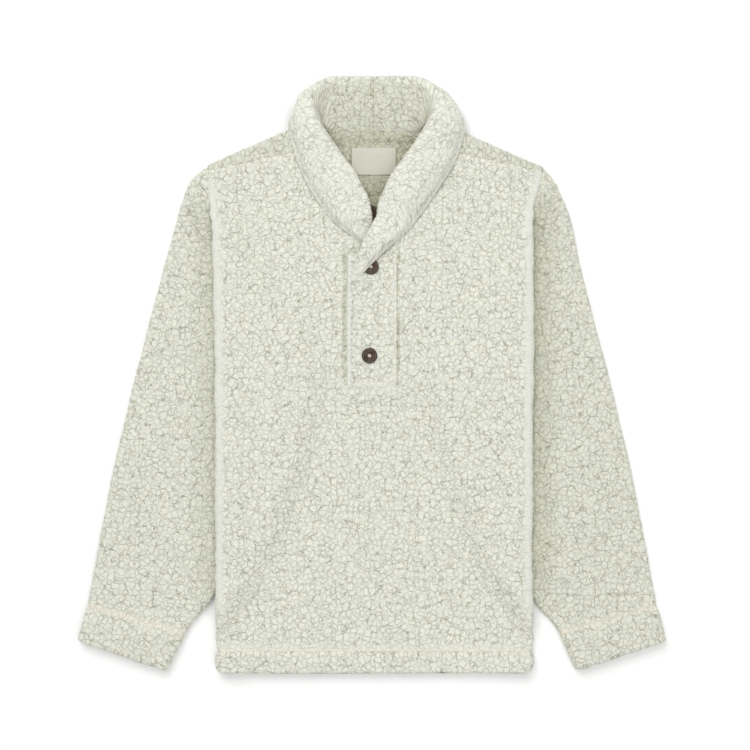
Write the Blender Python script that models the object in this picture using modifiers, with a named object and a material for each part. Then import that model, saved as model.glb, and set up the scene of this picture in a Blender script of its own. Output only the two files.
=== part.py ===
"""Wool fleece pullover with a shawl collar and a buttoned half placket, laid flat.

It lies face up on Z = 0, with +Y towards the neck and +X towards the wearer's left sleeve.
Sizes are in millimetres until a mesh is made. The body is two panels on each other. Its side
edges are turned under, over the inner part of the sleeves, which lie flat beside it.
"""

import math

import bmesh
import bpy
import numpy as np

MM = 0.001
SEAM = 0.4  # gap between pieces at a seam
REST = 0.3  # gap between pieces that lie on each other
WALL = 5.0  # thick curly fleece
HEM_WALL = 8.0  # the same cloth turned up and stitched
COLLAR_WALL = 7.0  # two layers of it
BAND_WALL = 5.2  # the collar's pressed edge
BAND = 12.0  # width of that edge
PLACKET_WALL = 4.0
STAND_WALL = 3.0
CENTRE = 2.6  # x of the body's centre line
HEM_END = -387.6
HEM_STITCH = -357.0
LIFT = 12.2  # height of the body where it lies on a sleeve
LIFT_RAMP = 42.0
SPREAD = 3.7  # how much further apart front and back lie at a turned edge
NECK_HALF = 80.0
SLEEVE_GAP = 1.3
CHEST = 236.0  # front and back share their rows up to this level

# Columns and rows of the nets of points
CHEST_ROW = 32
TURN_STEPS = 5
FLAT_ACROSS = 34
FRONT_ACROSS = FLAT_ACROSS + 2 * TURN_STEPS
FRONT_ALONG = CHEST_ROW + 3
FOLD_ROWS = 5
WRAP_ROWS = 2
BACK_ALONG = CHEST_ROW + 3 + FOLD_ROWS + WRAP_ROWS
SLEEVE_ROUND = 28
SLEEVE_ALONG = 26
COLLAR_STEPS = 10

# Side edges of the body from hem to shoulder: level (y), left (x), right (x)
BODY_EDGE = np.array([
    (-387.6, -199.0, 205.0),
    (-380.0, -201.5, 208.0),
    (-357.0, -202.5, 209.0),
    (-293.0, -203.0, 208.0),
    (-163.0, -203.0, 208.0),
    (-33.0, -203.5, 208.6),
    (67.0, -204.0, 209.0),
    (159.0, -206.7, 209.0),
    (194.0, -208.6, 209.3),
    (223.0, -212.5, 212.5),
    (246.0, -214.5, 219.5),
    (280.0, -213.0, 226.0),
])

# Where a sleeve's inner edge lies: level (y), reach (distance from the body's centre line)
TUCK = np.array([
    (-345.0, 262.0),
    (-332.0, 244.0),
    (-302.0, 219.0),
    (-263.0, 192.0),
    (-224.0, 174.0),
    (-150.0, 145.0),
    (-80.0, 125.0),
    (-35.0, 116.0),
    (-5.0, 114.0),
    (20.0, 119.0),
    (50.0, 138.0),
    (80.0, 163.0),
    (110.0, 186.0),
    (140.0, 201.0),
    (168.0, 209.0),
    (200.0, 234.0),
    (235.0, 264.0),
])

# Sleeve from armhole to cuff: part of the length, outer edge (x, y), inner edge (x, y)
SLEEVE = np.array([
    (0.00, 214.0, 273.0, 114.0, 6.0),
    (0.05, 235.5, 251.5, 115.0, -7.0),
    (0.10, 246.0, 227.0, 116.5, -21.5),
    (0.20, 260.5, 175.0, 120.0, -49.0),
    (0.30, 275.6, 119.0, 126.5, -80.0),
    (0.40, 290.0, 63.0, 135.0, -114.0),
    (0.50, 304.0, 11.0, 145.0, -150.0),
    (0.60, 317.5, -43.5, 157.0, -188.0),
    (0.70, 332.5, -105.0, 172.0, -224.0),
    (0.80, 346.0, -170.0, 190.0, -263.0),
    (0.90, 359.0, -239.0, 216.0, -302.0),
    (0.955, 370.0, -296.0, 241.0, -333.0),
    (1.00, 382.5, -342.0, 265.0, -382.0),
])
CUFF_STITCH = 0.957

# Collar from centre back to its end, both halves: neck seam, roll and free edge (distance from the
# centre line, y, height), then how far the stand and the fall bulge
COLLAR = np.array([
    (0.3, 312.8, 4.4, 0.3, 380.6, 9.5, 0.3, 340.0, 4.2, 6.0, 2.4),
    (28.0, 312.8, 4.6, 31.0, 380.4, 10.5, 31.0, 340.5, 4.2, 6.0, 2.8),
    (49.0, 313.5, 6.0, 59.0, 375.5, 16.0, 61.0, 344.0, 5.0, 5.5, 4.6),
    (63.0, 319.0, 8.5, 77.0, 364.0, 25.0, 88.0, 352.0, 7.0, 3.5, 7.0),
    (70.0, 324.0, 8.5, 81.0, 345.0, 31.0, 106.0, 337.0, 13.0, 2.5, 8.0),
    (72.0, 315.0, 8.5, 74.0, 325.0, 33.0, 112.0, 322.5, 18.0, 2.5, 8.5),
    (70.0, 300.0, 9.0, 61.0, 305.0, 30.0, 108.0, 301.0, 18.0, 3.0, 9.0),
    (62.0, 281.0, 9.5, 45.0, 284.0, 25.5, 102.0, 281.0, 17.6, 3.5, 9.5),
    (50.0, 262.0, 10.5, 28.5, 262.5, 23.0, 95.5, 263.0, 15.8, 4.0, 10.0),
    (38.0, 241.0, 12.5, 17.0, 241.5, 22.0, 85.0, 241.5, 14.6, 3.5, 9.5),
    (27.0, 220.0, 15.0, 8.5, 221.5, 21.0, 71.0, 220.5, 14.2, 2.5, 8.0),
    (18.0, 205.0, 16.0, 6.2, 206.0, 20.5, 58.0, 203.0, 14.0, 2.0, 6.0),
])

# Ends of the collar: the under half narrows on beneath the upper half, which crosses it
COLLAR_UNDER_END = np.array([
    (15.0, 197.5, 14.0, 4.8, 198.0, 16.2, 50.5, 196.5, 14.0, 1.0, 4.6),
    (12.5, 190.0, 12.8, 4.6, 190.0, 13.4, 43.0, 189.5, 14.2, 0.4, 2.4),
    (12.5, 178.0, 12.8, 7.5, 178.0, 13.2, 29.5, 179.0, 14.2, 0.2, 1.0),
    (12.5, 167.5, 13.0, 10.0, 167.5, 13.4, 17.5, 168.0, 14.0, 0.2, 0.4),
])
COLLAR_UPPER_END = np.array([
    (6.0, 188.0, 19.0, -2.4, 188.5, 24.0, 42.0, 183.5, 14.8, 1.4, 5.0),
    (-5.0, 171.0, 20.4, -10.2, 171.0, 24.4, 24.0, 168.0, 18.4, 0.8, 3.4),
    (-15.5, 150.0, 20.2, -20.0, 149.0, 22.6, 6.5, 151.2, 21.6, 0.4, 1.8),
    (-29.0, 127.0, 18.6, -32.5, 125.0, 19.6, -11.0, 133.0, 21.6, 0.2, 0.8),
])
FULLER = 7.0  # how much further out the wearer's left fall reaches at the shoulder

# Opening for the collar in both panels: distance from the centre line, y
NECK_HOLE = np.array([
    (NECK_HALF, 345.0),
    (NECK_HALF, 296.0),
    (75.0, 281.0),
    (63.0, 262.0),
    (50.0, 241.0),
    (38.0, 220.0),
    (29.0, 200.0),
    (22.0, 163.0),
])
BACK_NECK = np.array([
    (80.0, 352.0),
    (79.0, 335.0),
    (72.0, 325.0),
    (62.0, 316.5),
    (50.0, 312.6),
    (0.0, 312.4),
])

PLACKET_BOX = (-32.5, 32.5, -17.5, 156.5)
BUTTON_RADIUS = 10.0
BUTTON_HEIGHT = 3.2
# Buttons: name, x, y, height of the cloth under it
BUTTONS = (
    ("button_upper", -1.3, 140.0, 14.6),
    ("button_lower", -3.2, 24.5, 14.6),
    ("button_inner", -1.0, 210.0, 8.3),
)


def smooth(low, high, value):
    """Soft step from 0 at low to 1 at high."""
    part = min(max((value - low) / (high - low), 0.0), 1.0)
    return part * part * (3 - 2 * part)


def read(rows, column, at):
    """Smooth curve through a table's column, against its first column."""
    keys = rows[:, 0]
    values = rows[:, column]
    slopes = np.gradient(values, keys)
    last = len(keys) - 2
    i = int(min(max(np.searchsorted(keys, at) - 1, 0), last))
    step = keys[i + 1] - keys[i]
    part = min(max((at - keys[i]) / step, 0.0), 1.0)
    a = values[i] + slopes[i] * step / 3
    b = values[i + 1] - slopes[i + 1] * step / 3
    rest = 1 - part
    return (
        rest**3 * values[i]
        + 3 * rest**2 * part * a
        + 3 * rest * part**2 * b
        + part**3 * values[i + 1]
    )


def side_edge(side, y):
    """Body's edge on side -1 or +1, as a distance from the centre line."""
    x = read(BODY_EDGE, 1 if side < 0 else 2, y)
    return abs(x - CENTRE)


def wall_at(y):
    """Thickness of a body panel: plain, then a stitched groove and the turned hem."""
    band = smooth(HEM_STITCH + 3, HEM_STITCH - 5, y)
    return WALL + (HEM_WALL - WALL) * band


def rise_at(x, y):
    """How far the body has come up onto a sleeve's hidden part: 0 on the floor, 1 on the sleeve."""
    out = abs(x - CENTRE)
    full = read(TUCK, 1, y) - 12
    rise = smooth(full - LIFT_RAMP, full, out)
    return rise * smooth(-352, -335, y) * smooth(240, 215, y)


def lift_at(x, y):
    """Height of the body's underside."""
    return LIFT * rise_at(x, y)


def shoulder_line(x):
    """Y of the fold over the shoulder."""
    out = abs(x - CENTRE)
    return 334.5 - 0.435 * max(out - 78, 0.0)


def seam_line(x):
    """Y of the forward shoulder seam."""
    out = abs(x - CENTRE)
    return 289.0 - 0.225 * (max(out, NECK_HALF) - 110)


def turn_radius(y):
    """Middle radius of the body's turned side edge."""
    return (wall_at(y) + REST + SPREAD) / 2


def flat_end(side, y):
    """Distance from the centre line at which the front starts to turn under."""
    return side_edge(side, y) - turn_radius(y) - wall_at(y) / 2


def spread_at(x, y):
    """Extra distance between front and back, near a turned edge or the shoulder fold."""
    out = abs(x - CENTRE)
    side = -1 if x < CENTRE else 1
    near_side = smooth(flat_end(side, y) - 38, flat_end(side, y) - 2, out)
    near_shoulder = smooth(seam_line(x) - 48, seam_line(x) - 4, y)
    rise = rise_at(x, y)
    return SPREAD * max(near_side, near_shoulder) + 5.4 * math.sqrt(rise * (1 - rise))


def back_height(x, y):
    """Middle height of the back panel's wall."""
    return lift_at(x, y) + wall_at(y) / 2


def front_height(x, y):
    """Middle height of the front panel's wall."""
    return back_height(x, y) + wall_at(y) + REST + spread_at(x, y)


def front_top(x, y):
    return front_height(x, y) + wall_at(y) / 2


def new_object(name, mesh, collection):
    made = bpy.data.objects.new(name, mesh)
    collection.objects.link(made)
    return made


def colour(name, tint):
    """Plain material for one piece."""
    made = bpy.data.materials.new(name)
    made.use_nodes = True
    shader = made.node_tree.nodes["Principled BSDF"]
    shader.inputs["Base Color"].default_value = (*tint, 1.0)
    shader.inputs["Roughness"].default_value = 0.9
    return made


def cloth_sheet(name, across, along, place, most_wall, join=False):
    """A grid of cloth set in place by place(u, v) -> x, y, z, wall, then given its thickness.

    With join set, its two long edges meet and it is a tube.
    """
    mesh = bpy.data.meshes.new(name)
    grid = bmesh.new()
    bmesh.ops.create_grid(grid, x_segments=across, y_segments=along, size=0.5)
    weights = grid.verts.layers.deform.new()
    for vert in grid.verts:
        x, y, z, wall = place(vert.co.x + 0.5, vert.co.y + 0.5)
        vert.co = (x * MM, y * MM, z * MM)
        vert[weights][0] = wall / most_wall
    if join:
        bmesh.ops.remove_doubles(grid, verts=grid.verts, dist=0.00001)
    grid.to_mesh(mesh)
    grid.free()
    made = new_object(name, mesh, parts)
    made.vertex_groups.new(name="wall")
    shell = made.modifiers.new("wall", "SOLIDIFY")
    shell.thickness = most_wall * MM
    shell.offset = 0.0
    shell.use_even_offset = True
    shell.use_quality_normals = True
    shell.vertex_group = "wall"
    mesh.materials.append(colour(name, (0.72, 0.71, 0.64)))
    return made


def prism(name, outline, low, high):
    """Cutter: an outline, as x and y, raised from low to high."""
    mesh = bpy.data.meshes.new(name)
    solid = bmesh.new()
    corners = [solid.verts.new((x * MM, y * MM, low * MM)) for x, y in outline]
    base = solid.faces.new(corners)
    raised = bmesh.ops.extrude_face_region(solid, geom=[base])
    top = [item for item in raised["geom"] if isinstance(item, bmesh.types.BMVert)]
    bmesh.ops.translate(solid, verts=top, vec=(0, 0, (high - low) * MM))
    bmesh.ops.recalc_face_normals(solid, faces=solid.faces)
    solid.to_mesh(mesh)
    solid.free()
    made = new_object(name, mesh, cutters)
    made.hide_render = True
    made.display_type = "WIRE"
    return made


def cut(target, cutter):
    modifier = target.modifiers.new("cut_" + cutter.name, "BOOLEAN")
    modifier.operation = "DIFFERENCE"
    modifier.solver = "EXACT"
    modifier.object = cutter


def column_place(u, first, last):
    """Columns of a body panel: close together over the sleeves, wide apart in the middle."""
    part = (u - first) / (last - first)
    out = abs(2 * part - 1)
    bent = 0.3 * out / 0.14 if out < 0.14 else 0.3 + 0.7 * (out - 0.14) / 0.86
    return math.copysign(bent, 2 * part - 1)


def row_place(row, top):
    """Level of a row: close together in the hem band, then even, then three rows up to top."""
    levels = (
        HEM_END,
        HEM_END + 7,
        HEM_STITCH - 9,
        HEM_STITCH - 2,
        HEM_STITCH + 6,
        CHEST,
        top,
    )
    return float(np.interp(row, (0, 1, 2, 3, 4, CHEST_ROW, CHEST_ROW + 3), levels))


def front_place(u, v):
    """Front panel: flat columns, and at each side a few that turn under to the side seam."""
    first = TURN_STEPS / FRONT_ACROSS
    side = -1 if u < 0.5 else 1
    turned = max(first - u, u - (1 - first), 0.0) / first
    part = column_place(min(max(u, first), 1 - first), first, 1 - first)
    x = CENTRE + part * 205
    for _ in range(3):
        seam = SEAM + 1.6 * smooth(150, 200, abs(x - CENTRE))
        y = row_place(v * FRONT_ALONG, seam_line(x) - seam)
        x = CENTRE + part * flat_end(side, y)
    z = front_height(x, y)
    if turned > 0:
        whole = 180 - 105 * smooth(165, 200, y)
        angle = math.radians(whole) * turned
        radius = turn_radius(y)
        x += side * radius * math.sin(angle)
        z -= radius * (1 - math.cos(angle))
    return x, y, z, wall_at(y)


def back_place(u, v):
    """Back panel: flat up to the shoulder, folded over it and down to the forward seam."""
    side = -1 if u < 0.5 else 1
    part = column_place(u, 0.0, 1.0)
    flat_rows = (BACK_ALONG - FOLD_ROWS - WRAP_ROWS) / BACK_ALONG
    fold_rows = (BACK_ALONG - WRAP_ROWS) / BACK_ALONG
    radius = (WALL + REST + SPREAD) / 2
    x = CENTRE + part * 205
    for _ in range(3):
        turn_at = shoulder_line(x) - radius - WALL / 2
        y = row_place(v * BACK_ALONG, turn_at)
        if v > fold_rows:
            rest = (v - fold_rows) / (1 - fold_rows)
            y = turn_at + (seam_line(x) + SEAM - turn_at) * rest
        narrow = flat_end(side, y) - SEAM - 0.2 * wall_at(y)
        wide = side_edge(side, y) - SEAM - 1.4 * smooth(250, 262, y)
        x = CENTRE + part * (narrow + (wide - narrow) * smooth(205, 232, y))
    z = back_height(x, y)
    if v > flat_rows:
        turned = min((v - flat_rows) / (fold_rows - flat_rows), 1.0)
        angle = math.pi * turned
        z = back_height(x, turn_at) + radius * (1 - math.cos(angle))
        y += radius * math.sin(angle)
    return x, y, z, wall_at(y)


def arm_line(side, y):
    """Sleeve's end: beside the body's edge, and lower down under the body."""
    beside = side_edge(side, y) + SEAM
    under = read(TUCK, 1, min(y, 168.0)) - 2
    shown = smooth(150, 172, y)
    return beside * shown + min(under, beside) * (1 - shown)


def sleeve_wall(u):
    band = smooth(CUFF_STITCH - 0.012, CUFF_STITCH + 0.02, u)
    return WALL + (HEM_WALL - WALL) * band


def sleeve_plan(side, u, across):
    """Point of a sleeve seen from above: across is 0 at its outer edge and 1 at its inner edge."""
    outer = np.array([read(SLEEVE, 1, u), read(SLEEVE, 2, u)])
    inner = np.array([read(SLEEVE, 3, u), read(SLEEVE, 4, u)])
    end_y = 273.0 - 267.0 * across
    straight = np.array([214.0 - 100.0 * across, end_y])
    armhole = np.array([arm_line(side, end_y) + side * CENTRE, end_y])
    fade = max(1 - u / 0.45, 0.0) ** 2
    point = outer + (inner - outer) * across + fade * (armhole - straight)
    return side * point[0], point[1]


def sleeve_shape(side):
    """Sleeve as a flat tube, open at the armhole and at the cuff."""

    def place(u, v):
        along = float(np.interp(v, (0, 0.84, 0.9, 0.96, 1.0), (0, 0.895, 0.925, 0.985, 1.0)))
        wall = sleeve_wall(along)
        gap = wall + SLEEVE_GAP
        radius = gap / 2
        outer = sleeve_plan(side, along, 0.0)
        inner = sleeve_plan(side, along, 1.0)
        width = math.hypot(outer[0] - inner[0], outer[1] - inner[1])
        edge = (radius + wall / 2) / width
        steps = SLEEVE_ROUND / 2
        corner = 2.0  # segments in a quarter of the section
        ring = (u * SLEEVE_ROUND) % SLEEVE_ROUND
        top = ring <= steps
        run = ring if top else SLEEVE_ROUND - ring
        rim = wall / 2 / width
        if run < corner:
            angle = math.pi / 2 * run / corner
            across = edge - (edge - rim) * math.cos(angle)
            rise = math.sin(angle)
        elif run > steps - corner:
            angle = math.pi / 2 * (steps - run) / corner
            across = 1 - edge + (edge - rim) * math.cos(angle)
            rise = math.sin(angle)
        else:
            across = edge + (1 - 2 * edge) * (run - corner) / (steps - 2 * corner)
            rise = 1.0
        x, y = sleeve_plan(side, along, across)
        z = wall / 2 + radius + (radius * rise if top else -radius * rise)
        return x, y, z, wall

    return place


# Columns of the collar, as parts of its stand and of its fall: close together at the roll
STAND_PARTS = (0, 0.3, 0.6, 0.82, 0.94, 1.0)
FALL_PARTS = (0, 0.06, 0.18, 0.4, 0.62, 0.82, 0.93, 1.0)
COLLAR_ACROSS = len(STAND_PARTS) + len(FALL_PARTS) - 2


def collar_rows(end):
    return np.vstack([COLLAR, end])


def between(points, t):
    """Smooth curve through a table's rows, at t from 0 to their last number."""
    last = len(points) - 1
    i = int(min(max(math.floor(t), 0), last - 1))
    part = t - i
    a = points[max(i - 1, 0)]
    b = points[i]
    c = points[i + 1]
    d = points[min(i + 2, last)]
    return 0.5 * (
        2 * b
        + (c - a) * part
        + (2 * a - 5 * b + 4 * c - d) * part**2
        + (3 * b - a - 3 * c + d) * part**3
    )


def section_curve(points, steps):
    """Smooth curve through points that may lie at uneven distances, as a row of short steps."""
    gaps = np.maximum(np.linalg.norm(np.diff(points, axis=0), axis=1), 0.5)
    knots = np.concatenate([[0.0], np.cumsum(gaps)])
    slopes = np.gradient(points, knots, axis=0)
    curve = [points[0]]
    for i in range(len(points) - 1):
        for part in np.linspace(0, 1, steps + 1)[1:]:
            rest = 1 - part
            a = points[i] + slopes[i] * gaps[i] / 3
            b = points[i + 1] - slopes[i + 1] * gaps[i] / 3
            curve.append(
                rest**3 * points[i]
                + 3 * rest**2 * part * a
                + 3 * rest * part**2 * b
                + part**3 * points[i + 1]
            )
    return np.array(curve)


def bulge(a, b, other, amount):
    """Middle of a and b, pushed off the line between them and away from other."""
    along = b - a
    normal = np.cross(along, np.cross(along, other - b))
    size = np.linalg.norm(normal)
    return (a + b) / 2 - normal / size * amount if size > 1e-6 else (a + b) / 2


def collar_shape(side, rows):
    """Half of the collar: from the neck seam up the stand, over the roll and down the fall."""

    def place(u, v):
        row = between(rows, v * (len(rows) - 1))
        seam = row[0:3]
        roll = row[3:6]
        edge = row[6:9] + np.array([FULLER * smooth(84, 106, row[6]) * max(side, 0), 0, 0])
        stand = bulge(seam, roll, edge, -row[9])
        fall = bulge(roll, edge, seam, -row[10])
        curve = section_curve(np.array([seam, stand, roll, fall, edge]), COLLAR_STEPS)
        lengths = np.linalg.norm(np.diff(curve, axis=0), axis=1)
        reached = np.concatenate([[0.0], np.cumsum(lengths)])
        rolled = reached[COLLAR_STEPS * 2]
        column = u * COLLAR_ACROSS
        ends = (0, len(STAND_PARTS) - 1, COLLAR_ACROSS)
        if column <= ends[1]:
            at = rolled * float(np.interp(column, range(ends[1] + 1), STAND_PARTS))
        else:
            part = float(np.interp(column, range(ends[1], ends[2] + 1), FALL_PARTS))
            at = rolled + (reached[-1] - rolled) * part
        x, y, z = (np.interp(at, reached, curve[:, axis]) for axis in range(3))
        wall = COLLAR_WALL - (COLLAR_WALL - BAND_WALL) * smooth(BAND + 3, BAND - 3, reached[-1] - at)
        return CENTRE + side * x, y, z, wall

    return place


def strip_shape(box, height, wall):
    """Flat strip of cloth in a box of left, right, low and high sides."""

    def place(u, v):
        x = box[0] + (box[1] - box[0]) * u
        y = box[2] + (box[3] - box[2]) * v
        return x, y, height(x, y), wall

    return place


def placket_height(x, y):
    return front_top(x, y) + REST + PLACKET_WALL / 2


def stand_height(x, y):
    return WALL + REST + STAND_WALL / 2


def button(name, x, y, cloth):
    """Turned horn button: dished, with a raised rim and four holes."""
    top = BUTTON_HEIGHT
    profile = (
        (0.0, top - 1.3),
        (4.4, top - 1.3),
        (5.6, top - 0.4),
        (7.0, top - 0.1),
        (8.6, top),
        (9.7, top - 0.6),
        (10.0, top - 1.4),
        (9.2, 0.6),
        (7.6, 0.0),
        (0.0, 0.0),
    )
    mesh = bpy.data.meshes.new(name)
    outline = bmesh.new()
    points = [outline.verts.new((r * MM, 0, z * MM)) for r, z in profile]
    for a, b in zip(points, points[1:]):
        outline.edges.new((a, b))
    outline.to_mesh(mesh)
    outline.free()
    made = new_object(name, mesh, parts)
    made.location = (x * MM, y * MM, (cloth + REST) * MM)
    turned = made.modifiers.new("turned", "SCREW")
    turned.steps = 20
    turned.render_steps = 20
    turned.use_merge_vertices = True
    turned.merge_threshold = 0.00001
    turned.use_normal_calculate = True
    for n in range(4):
        angle = math.radians(45 + 90 * n)
        spot = (x + 2.1 * math.cos(angle), y + 2.1 * math.sin(angle))
        ring = [
            (spot[0] + 0.9 * math.cos(a), spot[1] + 0.9 * math.sin(a))
            for a in np.linspace(0, 2 * math.pi, 7)[:-1]
        ]
        cut(made, prism(f"{name}_hole_{n}", ring, cloth - 1, cloth + 5))
    mesh.materials.append(colour(name, (0.05, 0.035, 0.025)))
    return made


for old in list(bpy.data.objects):
    bpy.data.objects.remove(old)

parts = bpy.data.collections.new("fleece_pullover")
cutters = bpy.data.collections.new("cutters")
bpy.context.scene.collection.children.link(parts)
bpy.context.scene.collection.children.link(cutters)
cutters.hide_render = True

front = cloth_sheet("front", FRONT_ACROSS, FRONT_ALONG, front_place, HEM_WALL)
back = cloth_sheet("back", FLAT_ACROSS, BACK_ALONG, back_place, HEM_WALL)
for side, name in ((-1, "sleeve_right"), (1, "sleeve_left")):
    cloth_sheet(name, SLEEVE_ROUND, SLEEVE_ALONG, sleeve_shape(side), HEM_WALL, join=True)

hole = [(CENTRE - x, y) for x, y in NECK_HOLE] + [(CENTRE + x, y) for x, y in NECK_HOLE[::-1]]
cut(front, prism("neck_front", hole, -5, 40))
cut(back, prism("neck_wrap", hole, WALL + 1.5, 40))
neck = [(CENTRE - x, y) for x, y in BACK_NECK] + [(CENTRE + x, y) for x, y in BACK_NECK[-2::-1]]
cut(back, prism("neck_back", neck, -5, 40))

under = collar_rows(COLLAR_UNDER_END)
upper = collar_rows(COLLAR_UPPER_END)
cloth_sheet("collar_right", COLLAR_ACROSS, 36, collar_shape(-1, under), COLLAR_WALL)
cloth_sheet("collar_left", COLLAR_ACROSS, 36, collar_shape(1, upper), COLLAR_WALL)

cloth_sheet("placket", 8, 16, strip_shape(PLACKET_BOX, placket_height, PLACKET_WALL), PLACKET_WALL)
stand_box = (CENTRE - 15.0, CENTRE + 15.0, 165.5, 232.0)
cloth_sheet("under_placket", 3, 6, strip_shape(stand_box, stand_height, STAND_WALL), STAND_WALL)
label_box = (-26.6, 31.2, 260.0, 295.5)
cloth_sheet("label", 4, 3, strip_shape(label_box, lambda x, y: WALL + REST + 0.4, 0.8), 0.8)

for name, x, y, cloth in BUTTONS:
    button(name, x, y, cloth)
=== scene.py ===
"""Looks of the wool fleece pullover: curly pile, pressed edges, stitches, buttons, neck label.

The pullover lies face up on Z = 0, with +Y towards the neck and +X towards the wearer's left
sleeve. Sizes are in millimetres until a mesh is made. Each cloth piece is a closed shell round the
middle of its wall, with a fine outer face that carries the curls and a coarse hidden face.
"""

import math

import bmesh
import bpy
import numpy as np
from mathutils import Matrix, Vector


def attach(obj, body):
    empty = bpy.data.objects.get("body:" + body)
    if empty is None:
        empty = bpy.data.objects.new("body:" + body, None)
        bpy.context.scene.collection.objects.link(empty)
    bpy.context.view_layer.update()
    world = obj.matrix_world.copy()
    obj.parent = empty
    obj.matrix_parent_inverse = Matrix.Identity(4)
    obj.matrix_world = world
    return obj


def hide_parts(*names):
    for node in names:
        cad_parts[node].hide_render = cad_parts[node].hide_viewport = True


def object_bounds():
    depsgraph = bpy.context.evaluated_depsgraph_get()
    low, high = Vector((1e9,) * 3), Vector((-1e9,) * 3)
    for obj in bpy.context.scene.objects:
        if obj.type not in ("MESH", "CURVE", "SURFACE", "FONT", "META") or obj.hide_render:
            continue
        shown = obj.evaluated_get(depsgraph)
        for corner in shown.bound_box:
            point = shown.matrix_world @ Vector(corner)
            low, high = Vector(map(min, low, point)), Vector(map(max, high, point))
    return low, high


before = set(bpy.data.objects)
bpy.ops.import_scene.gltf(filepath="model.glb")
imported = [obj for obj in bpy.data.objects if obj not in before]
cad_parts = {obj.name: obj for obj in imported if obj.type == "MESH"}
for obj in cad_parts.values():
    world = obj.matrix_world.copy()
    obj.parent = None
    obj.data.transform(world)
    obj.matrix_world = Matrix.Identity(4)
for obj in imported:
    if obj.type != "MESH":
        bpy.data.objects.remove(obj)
cad_box = [list(corner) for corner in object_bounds()]

MM = 0.001
SEAM = 0.4  # gap between pieces at a seam
REST = 0.3  # gap between pieces that lie on each other
WALL = 5.0  # thick curly fleece
HEM_WALL = 8.0  # the same cloth turned up and stitched
COLLAR_WALL = 7.0
BAND_WALL = 5.2  # the collar's pressed edge
BAND = 12.0  # width of that edge
PLACKET_WALL = 4.0
STAND_WALL = 3.0
CENTRE = 2.6  # x of the body's centre line
HEM_END = -387.6
HEM_STITCH = -359.5
CHEST = 236.0  # level above which the rows lean with the shoulder
LIFT = 12.2  # height of the body where it lies on a sleeve
LIFT_RAMP = 42.0  # distance over which it comes up to there
SPREAD = 3.7  # extra distance between front and back where the cloth turns
NECK_HALF = 80.0
SLEEVE_GAP = 1.3  # gap between the two layers of a sleeve
CUFF_STITCH = 0.957  # part of the sleeve's length
SEAM_OVER = 0.9  # how far the back's end reaches into the front's at the shoulder
UNDER_EDGE = 3.0  # how far the sleeve's end reaches under the body's edge at the armhole
BODY_HALF = 205.0  # half the body's width, before its edges are read from the table
CORNER = 10.0  # radius of the hem's rounded corners
SHOULDER_SLOPE = 0.435
UNDER_ALL, OVER_ALL = -5.0, 45.0  # levels below and above all the cloth
STITCH = (2.2, 1.3)  # length of a stitch, and the gap to the next
RING_GAP = 2.5  # between the turned rings of the horn
RIB_GAP = 1.58  # between the label's ribs as drawn; real ones are about 0.4
WAVE = math.tau / 20  # scale at which a wave texture has one band to the unit

# The photograph: pixels across, millimetres of the garment for each, and what its middle shows
PIXEL = 1.30
PHOTO_SIZE = 750
VIEW_MIDDLE = (3.9, -0.65)

# Pile: how high a crown stands over the solid's face, and how deep a groove lies under it
CROWN = 0.5
GROOVE = 3.0
CURL = 9.0  # width of a curl
CLUSTER = 18.0  # width of a group of curls
LUMP = 5.4  # width of the small lumps on a curl

# Side edges of the body from hem to shoulder: level (y), left (x), right (x)
BODY_EDGE = np.array([
    (-387.6, -199.0, 205.0),
    (-380.0, -201.5, 208.0),
    (-357.0, -202.5, 209.0),
    (-293.0, -203.0, 208.0),
    (-163.0, -203.0, 208.0),
    (-33.0, -203.5, 208.6),
    (67.0, -204.0, 209.0),
    (159.0, -206.7, 209.0),
    (194.0, -208.6, 209.3),
    (223.0, -212.5, 212.5),
    (246.0, -214.5, 219.5),
    (280.0, -213.0, 226.0),
])

# Where a sleeve's inner edge lies: level (y), reach (distance from the body's centre line)
TUCK = np.array([
    (-345.0, 262.0),
    (-332.0, 244.0),
    (-302.0, 219.0),
    (-263.0, 192.0),
    (-224.0, 174.0),
    (-150.0, 145.0),
    (-80.0, 125.0),
    (-35.0, 116.0),
    (-5.0, 114.0),
    (20.0, 119.0),
    (50.0, 138.0),
    (80.0, 163.0),
    (110.0, 186.0),
    (140.0, 201.0),
    (168.0, 209.0),
    (200.0, 234.0),
    (235.0, 264.0),
])

# Sleeve from armhole to cuff: part of the length, outer edge (x, y), inner edge (x, y)
SLEEVE = np.array([
    (0.00, 214.0, 273.0, 114.0, 6.0),
    (0.05, 235.5, 251.5, 115.0, -7.0),
    (0.10, 246.0, 227.0, 116.5, -21.5),
    (0.20, 260.5, 175.0, 120.0, -49.0),
    (0.30, 275.6, 119.0, 126.5, -80.0),
    (0.40, 290.0, 63.0, 135.0, -114.0),
    (0.50, 304.0, 11.0, 145.0, -150.0),
    (0.60, 317.5, -43.5, 157.0, -188.0),
    (0.70, 332.5, -105.0, 172.0, -224.0),
    (0.80, 346.0, -170.0, 190.0, -263.0),
    (0.90, 359.0, -239.0, 216.0, -302.0),
    (0.955, 370.0, -296.0, 241.0, -333.0),
    (1.00, 382.5, -342.0, 265.0, -382.0),
])

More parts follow.
